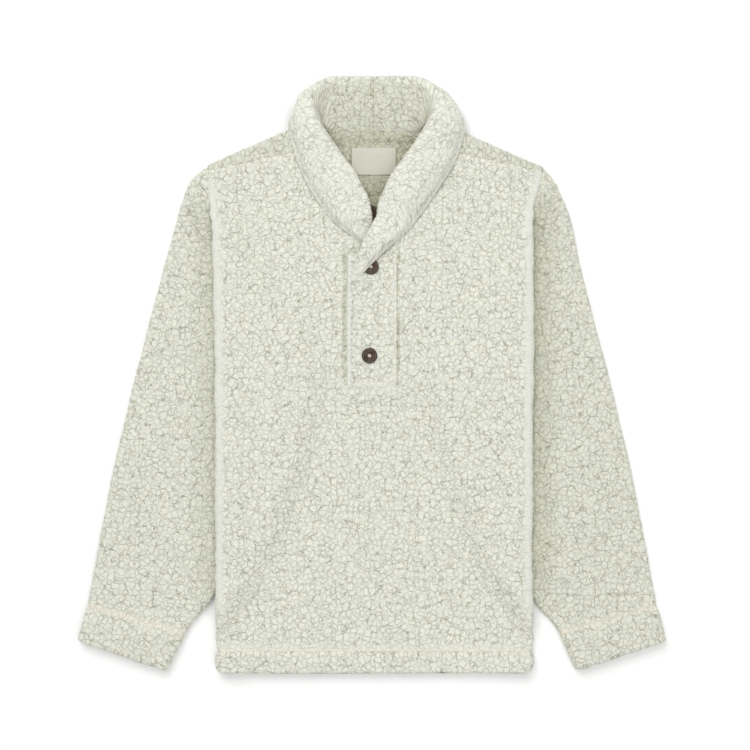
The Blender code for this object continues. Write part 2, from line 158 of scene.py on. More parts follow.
# Collar from centre back to its end, both halves: neck seam, roll and free edge (distance from the
# centre line, y, height), then how far the stand and the fall bulge
COLLAR = np.array([
    (0.0, 312.8, 4.4, 0.0, 384.4, 9.5, 0.0, 340.0, 4.2, 6.0, 2.4),
    (28.0, 312.8, 4.6, 31.0, 384.4, 10.5, 31.0, 340.5, 4.2, 6.0, 2.8),
    (49.0, 313.5, 6.0, 62.0, 380.6, 16.0, 63.0, 345.0, 5.0, 5.5, 4.6),
    (63.0, 319.0, 8.5, 79.0, 366.5, 25.0, 89.0, 354.0, 7.0, 3.5, 7.0),
    (70.0, 324.0, 8.5, 81.0, 345.0, 31.0, 106.0, 337.0, 13.0, 2.5, 8.0),
    (72.0, 315.0, 8.5, 74.0, 325.0, 33.0, 112.0, 322.5, 18.0, 2.5, 8.5),
    (70.0, 300.0, 9.0, 61.0, 305.0, 30.0, 108.0, 301.0, 18.0, 3.0, 9.0),
    (62.0, 281.0, 9.5, 45.0, 284.0, 25.5, 102.0, 281.0, 17.6, 3.5, 9.5),
    (50.0, 262.0, 10.5, 28.5, 262.5, 23.0, 95.5, 263.0, 15.8, 4.0, 10.0),
    (38.0, 241.0, 12.5, 17.0, 241.5, 22.0, 85.0, 241.5, 14.6, 3.5, 9.5),
    (27.0, 220.0, 15.0, 8.5, 221.5, 21.0, 71.0, 220.5, 14.2, 2.5, 8.0),
    (18.0, 205.0, 16.0, 6.2, 206.0, 20.5, 58.0, 203.0, 14.0, 2.0, 6.0),
])
COLLAR_UNDER_END = np.array([
    (15.0, 197.5, 14.0, 4.8, 198.0, 16.2, 50.5, 196.5, 14.0, 1.0, 4.6),
    (12.5, 190.0, 12.8, 4.6, 190.0, 13.4, 43.0, 189.5, 14.2, 0.4, 2.4),
    (12.5, 178.0, 12.8, 7.5, 178.0, 13.2, 29.5, 179.0, 14.2, 0.2, 1.0),
    (12.5, 167.5, 13.0, 10.0, 167.5, 13.4, 17.5, 168.0, 14.0, 0.2, 0.4),
])
COLLAR_UPPER_END = np.array([
    (6.0, 188.0, 19.0, -2.4, 188.5, 24.0, 42.0, 183.5, 14.8, 1.4, 5.0),
    (-5.0, 171.0, 20.4, -10.2, 171.0, 24.4, 24.0, 168.0, 18.4, 0.8, 3.4),
    (-15.5, 150.0, 20.2, -20.0, 149.0, 22.6, 6.5, 151.2, 21.6, 0.4, 1.8),
    (-29.0, 127.0, 18.6, -32.5, 125.0, 19.6, -11.0, 133.0, 21.6, 0.2, 0.8),
])
FULLER = 7.0  # how much further out the wearer's left fall reaches at the shoulder

# Opening for the collar in both panels: distance from the centre line, y
NECK_HOLE = (
    (NECK_HALF, 345.0),
    (NECK_HALF, 296.0),
    (75.0, 281.0),
    (63.0, 262.0),
    (50.0, 241.0),
    (38.0, 220.0),
    (29.0, 200.0),
    (22.0, 163.0),
)
NECK_POINT = ((19.0, 176.0), (10.0, 169.0))
BACK_NECK = (
    (80.0, 354.0),
    (79.0, 337.5),
    (72.0, 327.5),
    (62.0, 319.5),
    (50.0, 316.2),
    (0.0, 316.0),
)

PLACKET_BOX = (-32.5, 32.5, -17.5, 156.5)
STAND_BOX = (CENTRE - 15.0, CENTRE + 15.0, 165.5, 232.0)
LABEL_BOX = (-26.6, 31.2, 260.0, 295.5)
LABEL_WALL = 0.8
BUTTON_HEIGHT = 3.2
# Buttons: name, x, y, height of the cloth under it
BUTTONS = (
    ("button_upper", -1.3, 140.0, 14.6),
    ("button_lower", -3.2, 24.5, 14.6),
    ("button_inner", -1.0, 210.0, 8.3),
)


# Curves and steps


def smooth(low, high, value):
    """Soft step from 0 at low to 1 at high."""
    part = np.clip((value - low) / (high - low), 0.0, 1.0)
    return part * part * (3 - 2 * part)


def ridge(middle, width, value):
    """Soft ridge of height 1 at middle that ends width to each side."""
    return 1 - smooth(0, width, np.abs(value - middle))


def within(first, full, last, end, value):
    """Soft plateau: 0 up to first, 1 from full to last and 0 again from end."""
    return smooth(first, full, value) * smooth(end, last, value)


def parts(count):
    """Equal steps up to 1, without the 0."""
    return np.linspace(0, 1, count + 1)[1:]


def cubic(part, start, a, b, end):
    """Place along a curve from start to end, which a and b pull towards themselves."""
    rest = 1 - part
    return rest**3 * start + 3 * rest**2 * part * a + 3 * rest * part**2 * b + part**3 * end


def read(rows, column, at):
    """Smooth curve through a table's column, against its first column."""
    keys = rows[:, 0]
    values = rows[:, column]
    slopes = np.gradient(values, keys)
    i = np.clip(np.searchsorted(keys, at) - 1, 0, len(keys) - 2)
    step = keys[i + 1] - keys[i]
    part = np.clip((at - keys[i]) / step, 0.0, 1.0)
    a = values[i] + slopes[i] * step / 3
    b = values[i + 1] - slopes[i + 1] * step / 3
    return cubic(part, values[i], a, b, values[i + 1])


# Form of the body, as the solids have it, with a fuller hem


def side_edge(side, y):
    """Body's edge on side -1 or +1, as a distance from the centre line."""
    x = np.where(side < 0, read(BODY_EDGE, 1, y), read(BODY_EDGE, 2, y))
    return np.abs(x - CENTRE)


def wall_at(y):
    """Thickness of a body panel: plain, then a stitched groove and the turned hem."""
    return WALL + (HEM_WALL - WALL) * smooth(HEM_STITCH + 3, HEM_STITCH - 5, y)


def rise_at(x, y):
    """How far the body has come up onto a sleeve's hidden part: 0 on the floor, 1 on the sleeve."""
    full = read(TUCK, 1, y) - 12
    rise = smooth(full - LIFT_RAMP, full, np.abs(x - CENTRE))
    return rise * within(-352, -335, 215, 240, y)


def shoulder_line(x):
    """Y of the fold over the shoulder."""
    out = np.abs(x - CENTRE)
    worn_in = np.where(x < CENTRE, 1.8, 3.2) * smooth(78, 100, out)
    return 334.5 - SHOULDER_SLOPE * np.maximum(out - 78, 0.0) - worn_in


def seam_line(x):
    """Y of the forward shoulder seam."""
    return 289.0 - 0.225 * (np.maximum(np.abs(x - CENTRE), NECK_HALF) - 110)


def hem_corner(x, y):
    """How much higher the rounded corner of the hem lies than its middle."""
    reach = np.clip(np.abs(x - CENTRE) - 194.0, 0.0, 0.95 * CORNER)
    return (CORNER - np.sqrt(CORNER**2 - reach**2)) * smooth(HEM_STITCH - 6, HEM_END, y)


def hem_fullness(y):
    """How far the turned hem stands out beside the cloth above it, and its stitches pull in."""
    band = smooth(HEM_STITCH, HEM_STITCH - 9, y)
    return 2.0 * band - 1.2 * ridge(HEM_STITCH, 5.0, y)


def turn_radius(y):
    """Middle radius of the body's turned side edge."""
    return (wall_at(y) + REST + SPREAD) / 2


def flat_end(side, y):
    """Distance from the centre line at which the front starts to turn under."""
    return side_edge(side, y) - turn_radius(y) - wall_at(y) / 2


def spread_at(x, y):
    """Extra distance between front and back, near a turned edge or the shoulder fold."""
    out = np.abs(x - CENTRE)
    side = np.where(x < CENTRE, -1, 1)
    near_side = smooth(flat_end(side, y) - 38, flat_end(side, y) - 2, out)
    near_shoulder = smooth(seam_line(x) - 48, seam_line(x) - 4, y)
    rise = rise_at(x, y)
    return SPREAD * np.maximum(near_side, near_shoulder) + 5.4 * np.sqrt(rise * (1 - rise))


def back_height(x, y):
    """Middle height of the back panel's wall."""
    return LIFT * rise_at(x, y) + wall_at(y) / 2


def front_height(x, y):
    """Middle height of the front panel's wall."""
    return back_height(x, y) + wall_at(y) + REST + spread_at(x, y)


def front_top(x, y):
    """Height of the front panel's face."""
    return front_height(x, y) + wall_at(y) / 2


# Pile


def drift(s, t, size, seed):
    """Smooth noise from -1 to 1 with swells of the given size."""
    table = np.random.default_rng(seed).uniform(-1, 1, (61, 67))
    i = np.floor(s / size).astype(int)
    j = np.floor(t / size).astype(int)
    a = s / size - i
    b = t / size - j
    a = a * a * (3 - 2 * a)
    b = b * b * (3 - 2 * b)
    low = table[i % 61, j % 67] * (1 - a) + table[(i + 1) % 61, j % 67] * a
    high = table[i % 61, (j + 1) % 67] * (1 - a) + table[(i + 1) % 61, (j + 1) % 67] * a
    return low * (1 - b) + high * b


def dome(a, b, jitter, seed):
    """Height, 0 in the grooves to 1 on the crowns, over uneven staggered spots one unit apart."""
    spots = np.random.default_rng(seed).uniform(-jitter, jitter, (2, 83, 79))
    column = np.floor(a).astype(int)
    row = np.floor(b).astype(int)
    near = np.full(a.shape, 9.0)
    second = near.copy()
    for i in (-1, 0, 1):
        for j in (-1, 0, 1):
            spot_a, spot_b = spots[:, (column + i) % 83, (row + j) % 79]
            stagger = np.where((row + j) % 2 == 0, 0.27, 0.73)
            apart = np.hypot(column + i + stagger + spot_a - a, row + j + 0.5 + spot_b - b)
            second = np.minimum(second, np.maximum(near, apart))
            near = np.minimum(near, apart)
    edge = np.clip((second - near) / 0.5, 0, 1)
    return 1 - (1 - edge) ** 2.4


def pile(s, t, seed, length=1.14):
    """Wool curls over a cloth's own places s and t: groups, curls and small lumps on each other."""
    bent_s = s + 3.4 * drift(s, t, 15, seed + 1) + 1.5 * drift(s, t, 6, seed + 2)
    bent_t = t + 3.4 * drift(s, t, 16, seed + 3) + 1.5 * drift(s, t, 6, seed + 4)
    height = np.ones_like(s)
    # Width, part of the depth, and what is added to the seed
    for size, part, n in ((CLUSTER, 0.34, 5), (CURL, 0.36, 6), (LUMP, 0.08, 7)):
        crown = dome(bent_s / size + n, bent_t / (size * length), 0.4, seed + n)
        part = part * (0.78 + 0.3 * drift(s, t, 24, seed + n + 3))
        height = height - part * (1 - crown)
    return height


# Shells of cloth


def linked(name, data):
    """A new object in the scene."""
    made = bpy.data.objects.new(name, data)
    bpy.context.scene.collection.objects.link(made)
    return made


def solid(name, form):
    """A new object with the mesh of a finished form."""
    mesh = bpy.data.meshes.new(name)
    form.to_mesh(mesh)
    form.free()
    return linked(name, mesh)


def lengths(mid, axis):
    """Distance run along an axis of a net of points, from its middle."""
    gaps = np.linalg.norm(np.diff(mid, axis=axis), axis=2)
    first = np.zeros_like(np.take(gaps, [0], axis=axis))
    run = np.concatenate([first, np.cumsum(gaps, axis=axis)], axis=axis)
    return run - np.take(run, [run.shape[axis] // 2], axis=axis)


def directions(mid, ring, facing):
    """Unit normals and unit directions along the columns of a net of points."""
    across = np.gradient(mid, axis=1)
    if ring:
        along = np.roll(mid, -1, axis=0) - np.roll(mid, 1, axis=0)
    else:
        along = np.gradient(mid, axis=0)
    normal = np.cross(across, along) * facing
    normal /= np.maximum(np.linalg.norm(normal, axis=2, keepdims=True), 1e-9)
    across /= np.maximum(np.linalg.norm(across, axis=2, keepdims=True), 1e-9)
    return normal, across


class Cloth:
    """A closed shell of cloth round a net of points, and what is known of its outer face.

    Its form may have: place on the flat cloth, ring if its rows close, facing, taper of the rows,
    crowns of its two edges, step between inner columns, and the lining's marks and relief.
    """

    def __init__(self, name, mid, wall, relief, marks, **form):
        self.ring = form.get("ring", False)
        self.mid = mid
        self.normal, self.across = directions(mid, self.ring, form.get("facing", 1))
        self.wall = wall
        self.relief = relief
        self.taper = form.get("taper", np.ones(len(mid)))[:, None]
        place = np.broadcast_arrays(*form["place"], np.zeros(wall.shape))
        self.made = self.shell(name, marks, np.stack(place, axis=2), form)

    def shell(self, name, marks, cloth_place, form):
        """The shell's object; its inner face is coarse but where the lining shows."""
        rows, columns = self.wall.shape
        half = self.wall / 2
        crowns = form.get("crowns", (0, 0))
        lining = form.get("lining", {})
        first, last = form.get("shown_columns", (0, 0))
        inner = [
            column
            for column in range(columns - 1, 0, -1)
            if (columns - 1 - column) % form.get("step", 16) == 0 or first < column < last
        ] + [0]
        turns = np.radians((45, 90, 135))
        points = [self.mid + self.normal * ((half + self.relief) * self.taper)[..., None]]
        for end, angles, push in ((-1, turns, crowns[1]), (0, turns[::-1], -crowns[0])):
            thick = (half[:, end] * self.taper[:, 0])[:, None]
            rim = [
                self.mid[:, end]
                + self.normal[:, end] * thick * math.cos(angle)
                + self.across[:, end] * thick * push * math.sin(angle)
                for angle in angles
            ]
            points.append(np.stack(rim, axis=1))
            if end == -1:
                deep = (half + form.get("lining_relief", 0.0)) * self.taper
                hidden = self.mid - self.normal * deep[..., None]
                points.append(hidden[:, inner])
        points = np.concatenate(points, axis=1)
        outer = list(range(columns)) + [columns - 1] * 3 + inner + [0] * 3
        face = np.zeros(len(outer))
        face[columns + 3 : columns + 3 + len(inner)] = 1

        mesh = bpy.data.meshes.new(name)
        # Vertices get their place in the net from where they lie on a flat grid
        grid = bmesh.new()
        sides = (len(outer), rows if self.ring else rows - 1)
        bmesh.ops.create_grid(grid, x_segments=sides[0], y_segments=sides[1], size=0.5)
        grid.to_mesh(mesh)
        grid.free()
        place = np.empty(len(mesh.vertices) * 3)
        mesh.vertices.foreach_get("co", place)
        place = np.rint((place.reshape(-1, 3)[:, :2] + 0.5) * sides).astype(int)
        column = place[:, 0] % len(outer)
        row = place[:, 1] % rows
        mesh.vertices.foreach_set("co", (points[row, column] * MM).ravel())
        marks = dict(marks, inside=np.zeros((rows, columns)))
        inner_marks = {**marks, "inside": np.ones((rows, columns)), **lining}
        for mark, values in marks.items():
            values = values[:, outer] * (1 - face) + inner_marks[mark][:, outer] * face
            layer = mesh.attributes.new(mark, "FLOAT", "POINT")
            layer.data.foreach_set("value", values[row, column].astype(np.float32))
        layer = mesh.attributes.new("cloth_place", "FLOAT_VECTOR", "POINT")
        layer.data.foreach_set("vector", (cloth_place[:, outer][row, column] * MM).ravel())

        joined = bmesh.new()
        joined.from_mesh(mesh)
        joined.verts.ensure_lookup_table()
        twice = (place[:, 0] == 0) | (place[:, 0] == sides[0])
        if self.ring:
            twice |= (place[:, 1] == 0) | (place[:, 1] == sides[1])
        edge = [joined.verts[i] for i in np.flatnonzero(twice)]
        bmesh.ops.remove_doubles(joined, verts=edge, dist=0.000001)
        if not self.ring:
            open_edges = [item for item in joined.edges if item.is_boundary]
            bmesh.ops.holes_fill(joined, edges=open_edges, sides=0)
        bmesh.ops.recalc_face_normals(joined, faces=joined.faces)
        joined.to_mesh(mesh)
        joined.free()
        mesh.shade_smooth()
        return linked(name, mesh)

    def spot(self, row, column, height):
        """Point on the outer face at a place between rows and columns, raised by height."""
        i = min(int(row), self.mid.shape[0] - 2)
        j = min(int(column), self.mid.shape[1] - 2)
        a = row - i
        b = column - j
        face = self.mid + self.normal * (self.wall / 2 + self.relief)[..., None]
        low = face[i, j] * (1 - b) + face[i, j + 1] * b
        high = face[i + 1, j] * (1 - b) + face[i + 1, j + 1] * b
        return low * (1 - a) + high * a + self.normal[i, j] * height, self.normal[i, j]


def cut(piece, outline, low, high):
    """Cuts an upright prism out of a piece."""
    prism = bmesh.new()
    base = prism.faces.new([prism.verts.new((x * MM, y * MM, low * MM)) for x, y in outline])
    raised = bmesh.ops.extrude_face_region(prism, geom=[base])
    top = [item for item in raised["geom"] if isinstance(item, bmesh.types.BMVert)]
    bmesh.ops.translate(prism, verts=top, vec=(0, 0, (high - low) * MM))
    bmesh.ops.recalc_face_normals(prism, faces=prism.faces)
    cutter = solid("cutter", prism)
    modifier = piece.modifiers.new("cut", "BOOLEAN")
    modifier.operation = "DIFFERENCE"
    modifier.solver = "MANIFOLD"
    modifier.object = cutter
    graph = bpy.context.evaluated_depsgraph_get()
    shaped = bpy.data.meshes.new_from_object(piece.evaluated_get(graph))
    piece.modifiers.clear()
    piece.data = shaped
    bpy.data.objects.remove(cutter)


def both_sides(outline):
    """A table of distances from the centre line, as an outline round it."""
    left = [(CENTRE - x, y) for x, y in outline]
    right = [(CENTRE + x, y) for x, y in outline[::-1] if x > 0]
    return left + right


# Finishes


def linear(code):
    """A screen colour such as F0E0D0 as the linear light a shader takes."""
    light = [int(code[i : i + 2], 16) / 255 for i in (0, 2, 4)]
    return (*[c / 12.92 if c <= 0.04045 else ((c + 0.055) / 1.055) ** 2.4 for c in light], 1.0)


def per(size):
    """Scale of a pattern whose repeat is size in millimetres."""
    return 1 / (size * MM)


def add(tree, kind, inputs=None, **settings):
    """Outputs of a new shader node; each of its inputs is a value or another node's output."""
    made = tree.nodes.new("ShaderNode" + kind)
    for key, value in settings.items():
        setattr(made, key, value)
    for key, value in (inputs or {}).items():
        if isinstance(value, bpy.types.NodeSocket):
            tree.links.new(value, made.inputs[key])
        else:
            made.inputs[key].default_value = value
    return made.outputs


def finish(name, **values):
    """A new material, its tree, and the inputs of its shader with these values set on them."""
    made = bpy.data.materials.new(name)
    made.use_nodes = True
    shader = made.node_tree.nodes["Principled BSDF"].inputs
    for key, value in values.items():
        shader[key.replace("_", " ")].default_value = value
    return made, made.node_tree, shader


def paint(tree, shader, ground, layers):
    """Lays colours over the ground's: for each layer its part, its code and how it is mixed in."""
    colour = linear(ground)
    for part, code, kind in layers:
        inputs = {0: part, 6: colour, 7: linear(code)}
        colour = add(tree, "Mix", inputs, data_type="RGBA", blend_type=kind)[2]
    tree.links.new(colour, shader["Base Color"])


def fleece_finish():
    """Undyed wool, curled and matted into felt: matt, with a soft sheen from its loose fibres.

    The crowns of the curls are a creamy white. The grooves and cracks between them are painted a
    warm grey as shade, more painted shade is laid where the cloth lies in shadow, and the collar's
    fall has a painted highlight. Where the cloth was pressed flat it is smoother, with grey flecks
    where the thread pulls it in.
    """
    made, tree, shader = finish(
        "undyed_wool_fleece",
        Roughness=0.95,
        Specular_IOR_Level=0.15,
        IOR=1.54,
        Sheen_Weight=0.22,
        Sheen_Roughness=0.6,
        Sheen_Tint=linear("FBFBF2"),
    )
    place = add(tree, "Attribute", attribute_name="cloth_place")["Vector"]
    part = {}
    for mark in ("groove", "pressed", "flecked", "sewn", "painted_highlight", "painted_shade", "inside"):
        part[mark] = add(tree, "Attribute", attribute_name=mark)["Fac"]
    noise = {}
    # Noise: name, width of its swells, detail
    for name, size, detail in (
        ("fibre", 2.6, 3.0),
        ("ripple", 3.6, 1.0),
        ("fleck", 4.2, 1.0),
        ("mottle", 5.0, 2.0),
        ("bend", 9.0, 2.0),
        ("uneven", 12.0, 1.0),
        ("patch", 42.0, 2.0),
    ):
        inputs = {"Vector": place, "Scale": per(size), "Detail": detail}
        noise[name] = add(tree, "TexNoise", inputs, noise_dimensions="2D")
    bent = place
    for name, reach in (("bend", 7.0 * MM), ("ripple", 4.2 * MM)):
        inputs = {0: noise[name]["Color"], 1: (reach, reach, 0.0), 2: bent}
        bent = add(tree, "VectorMath", inputs, operation="MULTIPLY_ADD")[0]
    curl = {"Vector": bent, "Scale": per(7.2)}
    group = {"Vector": bent, "Scale": per(15.5)}
    edges = {"voronoi_dimensions": "2D", "feature": "DISTANCE_TO_EDGE"}
    rim = add(tree, "TexVoronoi", curl, **edges)["Distance"]
    gap = add(tree, "TexVoronoi", group, **edges)["Distance"]
    each = add(tree, "TexVoronoi", curl, voronoi_dimensions="2D")["Color"]
    # Parts: name, what it is read from, where it is none, where it is full, and how much full is,
    # which may be an earlier part
    for name, source, none, full, most in (
        ("curly", part["pressed"], 1.0, 0.0, 1.0),
        ("cracked", part["pressed"], 1.0, 0.0, 0.9),
        ("swollen", rim, 0.0, 0.18, "curly"),
        ("uneven", noise["uneven"]["Fac"], 0.3, 0.7, 0.74),
        ("thin_crack", rim, 0.1, 0.0, "uneven"),
        ("apart", noise["bend"]["Fac"], 0.38, 0.6, 0.85),
        ("wide_crack", gap, 0.065, 0.01, "apart"),
        ("greyer", each, 0.35, 0.8, 0.3),
        ("warmer", noise["mottle"]["Fac"], 0.52, 0.68, 0.4),
        ("cooler", noise["mottle"]["Fac"], 0.48, 0.32, 0.4),
        ("spotted", noise["fleck"]["Fac"], 0.52, 0.62, "flecked"),
        ("deep", part["groove"], 0.3, 1.0, 0.6),
        ("fibrous", noise["fibre"]["Fac"], 0.35, 0.65, 0.24),
    ):
        inputs = {"Value": source, "From Min": none, "From Max": full}
        inputs["To Max"] = part.get(most, most)
        kind = "SMOOTHSTEP" if name == "swollen" else "LINEAR"
        part[name] = add(tree, "MapRange", inputs, interpolation_type=kind)["Result"]
    # Painted shade in the cracks between the curls: thin ones round each curl, and wide ones round
    # groups where they come apart
    inputs = {0: part["thin_crack"], 1: part["wide_crack"]}
    inputs = {0: add(tree, "Math", inputs, operation="MAXIMUM")[0], 1: part["cracked"]}
    part["crack"] = add(tree, "Math", inputs, operation="MULTIPLY")[0]
    # Layers, in order: random tones, pressed cloth, flecks, a painted highlight on the collar's
    # fall, painted shade in the grooves and in the cracks between the curls, cream at the stitches,
    # painted shade multiplied in where the cloth lies in shadow, the inner face, and the fibres'
    # grain
    layers = (
        (noise["patch"]["Fac"], "E4E8DB", "MIX"),
        (part["greyer"], "DBDDD3", "MIX"),
        (part["warmer"], "EAE4D3", "MIX"),
        (part["cooler"], "DFE4E2", "MIX"),
        (part["pressed"], "E2E3DA", "MIX"),
        (part["spotted"], "A3A9B2", "MIX"),
        (part["painted_highlight"], "F6F8EC", "MIX"),
        (part["deep"], "BBB8A2", "MIX"),
        (part["crack"], "8A8670", "MIX"),
        (part["sewn"], "F1EBDC", "MIX"),
        (part["painted_shade"], "C4C2B0", "MULTIPLY"),
        (part["inside"], "C9C8B8", "MIX"),
        (part["fibrous"], "B9B8A8", "MIX"),
    )
    paint(tree, shader, "EDEDDD", layers)
    inputs = {"Height": part["swollen"], "Strength": 0.6, "Distance": 1.3 * MM}
    soft = add(tree, "Bump", inputs)["Normal"]
    inputs = {"Height": noise["fibre"]["Fac"], "Strength": 0.6, "Distance": 0.7 * MM}
    fine = add(tree, "Bump", {**inputs, "Normal": soft})["Normal"]
    tree.links.new(fine, shader["Normal"])
    return made


def thread_finish():
    """Cream sewing thread: twisted, a little shiny."""
    made, tree, shader = finish("cream_sewing_thread", Roughness=0.6, Sheen_Weight=0.2)
    place = add(tree, "TexCoord")["Object"]
    twist = add(tree, "TexNoise", {"Vector": place, "Scale": per(0.8), "Detail": 2.0})["Fac"]
    paint(tree, shader, "ECE7D6", [(twist, "FAF7EC", "MIX")])
    return made


def horn_finish():
    """Polished horn: dark brown with turned rings and bronze streaks under a clear gloss."""
    made, tree, shader = finish("polished_dark_horn", Roughness=0.5, Coat_Weight=0.05, IOR=1.5)
    place = add(tree, "TexCoord")["Object"]
    radius = add(tree, "Attribute", attribute_name="radius")["Fac"]
    turn = math.tau / RING_GAP
    ring = add(tree, "Math", {0: radius, 1: turn}, operation="MULTIPLY")[0]
    wave = add(tree, "Math", {0: ring}, operation="SINE")[0]
    streak = add(tree, "TexNoise", {"Vector": place, "Scale": per(5), "Detail": 4.0})["Fac"]
    both = add(tree, "Math", {0: wave, 1: streak}, operation="MULTIPLY")[0]
    inputs = {"Value": both, "From Min": 0.26, "From Max": 0.5, "To Max": 0.85}
    paint(tree, shader, "17110B", [(add(tree, "MapRange", inputs)["Result"], "8E6B45", "MIX")])
    inputs = {"Height": wave, "Strength": 0.3, "Distance": 0.1 * MM}
    tree.links.new(add(tree, "Bump", inputs)["Normal"], shader["Normal"])
    return made


def label_finish():
    """Plain woven tape, a satin cream: its ribs are too fine to show and are drawn coarser."""
    made, tree, shader = finish("woven_label_tape", Roughness=0.7, Sheen_Weight=0.15)
    place = add(tree, "TexCoord")["Object"]
    inputs = {"Vector": place, "Scale": per(RIB_GAP) * WAVE, "Distortion": 0.4}
    rib = add(tree, "TexWave", inputs, bands_direction="Y")["Fac"]
    cloud = add(tree, "TexNoise", {"Vector": place, "Scale": per(9), "Detail": 3.0})["Fac"]
    paint(tree, shader, "CBC9BB", [(cloud, "D6D4C7", "MIX"), (rib, "C1BFB1", "MIX")])
    inputs = {"Height": rib, "Strength": 0.3, "Distance": 0.1 * MM}
    tree.links.new(add(tree, "Bump", inputs)["Normal"], shader["Normal"])
    return made


def floor_finish():
    """Smooth white board."""
    made, tree, shader = finish("white_board", Roughness=0.8)
    place = add(tree, "TexCoord")["Object"]
    tone = add(tree, "TexNoise", {"Vector": place, "Scale": per(400)})["Fac"]
    paint(tree, shader, "FCFCFC", [(tone, "FFFFFF", "MIX")])
    return made


FLEECE = fleece_finish()
THREAD = thread_finish()
HORN = horn_finish()
TAPE = label_finish()


def worn(piece, material, nodes=()):
    """Gives a piece its finish, hangs it on the root and hides the parts it stands for."""
    piece.data.materials.clear()
    piece.data.materials.append(material)
    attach(piece, "root")
    if nodes:
        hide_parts(*nodes)


# Body


def front_cloth():
    """Front panel: flat between two edges that turn under, with a turned hem."""
    turns = parts(12)
    flat = np.linspace(-1, 1, 209)
    edge = np.ones(len(turns))
    part = np.concatenate([-edge, flat, edge])[None, :]
    turned = np.concatenate([turns[::-1], 0 * flat, turns])[None, :]
    end = HEM_END + np.array((0.0, 0.5, 1.4, 2.6))
    level = np.concatenate([end, np.linspace(HEM_END + 4, CHEST, 318)])[:, None]
    above = parts(32)[:, None]
    side = np.sign(part + 1e-6)
    x = CENTRE + part * BODY_HALF
    for _ in range(3):
        seam = SEAM + 0.3 * smooth(150, 200, np.abs(x - CENTRE))
        top = (seam_line(x) - seam)[-1:]
        y = np.concatenate([level + 0 * part, CHEST + (top - CHEST) * above])
        x = CENTRE + part * flat_end(side, y)
    flat_z = front_height(x, y)
    whole = np.radians(180 - 105 * smooth(165, 200, y))
    radius = turn_radius(y)
    out = np.abs(x - CENTRE)
    full = side * hem_fullness(y) * smooth(170, 195, out)
    full = full + 0.8 * side * drift(y, 0 * y, 9, 35) * smooth(165, 190, out)
    wide = x + side * radius * np.sin(whole * turned) + full
    y = y + drift(x, 0 * x, 9, 36) * smooth(HEM_END + 16, HEM_END, y)
    z = flat_z - radius * (1 - np.cos(whole * turned))
    mid = np.stack([wide, y + hem_corner(wide, y), z], axis=2)
    s = lengths(mid, 1)

    # Pressed along the side edges and over the hem, raised round the placket
    inset = side_edge(side, y) - np.abs(wide - CENTRE)
    pressed = 0.8 * smooth(15, 6.5, inset) * smooth(0.95, 0.6, turned) * smooth(-335, -285, y)
    pressed = pressed * smooth(0, 24, np.where(x < CENTRE, 262.0, 284.0) - y)
    above_hem = within(HEM_STITCH - 3, HEM_STITCH, HEM_STITCH + 6, HEM_STITCH + 13, y)
    pressed = np.maximum(pressed, 0.35 * above_hem)
    left, right, low, high = PLACKET_BOX
    beyond = smooth(0, 10, x) * smooth(high - 3, high + 0.5, y)
    beside = np.maximum(smooth(right - 1, right + 3.5, x), beyond)
    beside = beside * smooth(right + 31.5, right + 5.5, x) * smooth(low - 6.5, low + 3.5, y)
    below = within(low - 30.5, low - 6.5, low - 0.5, low + 4, y)
    below = below * within(left - 7.5, left + 4.5, right + 5.5, right + 19.5, x)
    raised = 3.6 * np.maximum(beside, below) * smooth(212, 172, y)

    # Sewn and creased along the hem, the shoulder seam and both sides of the placket
    sewn = 0.75 * ridge(HEM_STITCH + 0.4, 3.0, y)
    shoulder = smooth(262, 268, y) * smooth(0.1, 0, turned)
    sewn = np.maximum(sewn, 0.45 * ridge(4.5, 3.5, seam_line(x) - y) * shoulder)
    creased = ridge(0, 3.2, seam_line(x) - y) * shoulder * np.where(x < CENTRE, 0.3, 0.8)
    left_line = ridge(left - 3.7, 4.0, x) * (0.8 + 0.3 * drift(x, y, 9, 34))
    right_line = 0.9 * ridge(right + 2.5, 3.0, x) * smooth(-0.7, 0.3, drift(x, y, 11, 33))
    beside_strip = np.maximum(left_line, right_line)
    beside_strip = beside_strip * within(low + 5.5, low + 21.5, high + 1.5, high + 18.5, y)
    lines = (0.75 + 0.6 * smooth(0, 0.3, turned)) * ridge(HEM_STITCH, 3.0, y)
    lines = np.maximum(np.maximum(lines, 1.1 * beside_strip), creased)

    height = pile(s, y, 10)
    flat_pile = (1 - 0.8 * pressed) * (1 - 0.2 * smooth(HEM_STITCH, HEM_STITCH - 5, y))
    swell = 0.8 * drift(s, y, 70, 31) + 0.5 * drift(s, y, 34, 32)
    relief = CROWN - GROOVE * (1 - height) * flat_pile - 1.5 * lines + raised + swell
    relief = relief - np.maximum(relief, 0) * smooth(0.4, 0.8, turned)
    taper = np.ones(len(mid))
    taper[:4] = (0.3, 0.55, 0.78, 0.94)
    taper[-1] = 0.94
    # Painted shade: the groove mark darkens the pile's grooves, the shoulder crease and the strips
    # beside the placket, and the last mark adds more painted shade along those strips
    marks = {
        "groove": (1 - height) * flat_pile + 0.8 * beside_strip + 0.5 * creased,
        "pressed": pressed,
        "sewn": sewn,
        "painted_shade": 0.34 * beside_strip,
    }
    cloth = Cloth("front_cloth", mid, wall_at(y), relief, marks, taper=taper, place=(s, y))
    cut(cloth.made, both_sides(NECK_HOLE[:-1] + NECK_POINT), UNDER_ALL, OVER_ALL)
    worn(cloth.made, FLEECE, ["front"])
    return cloth


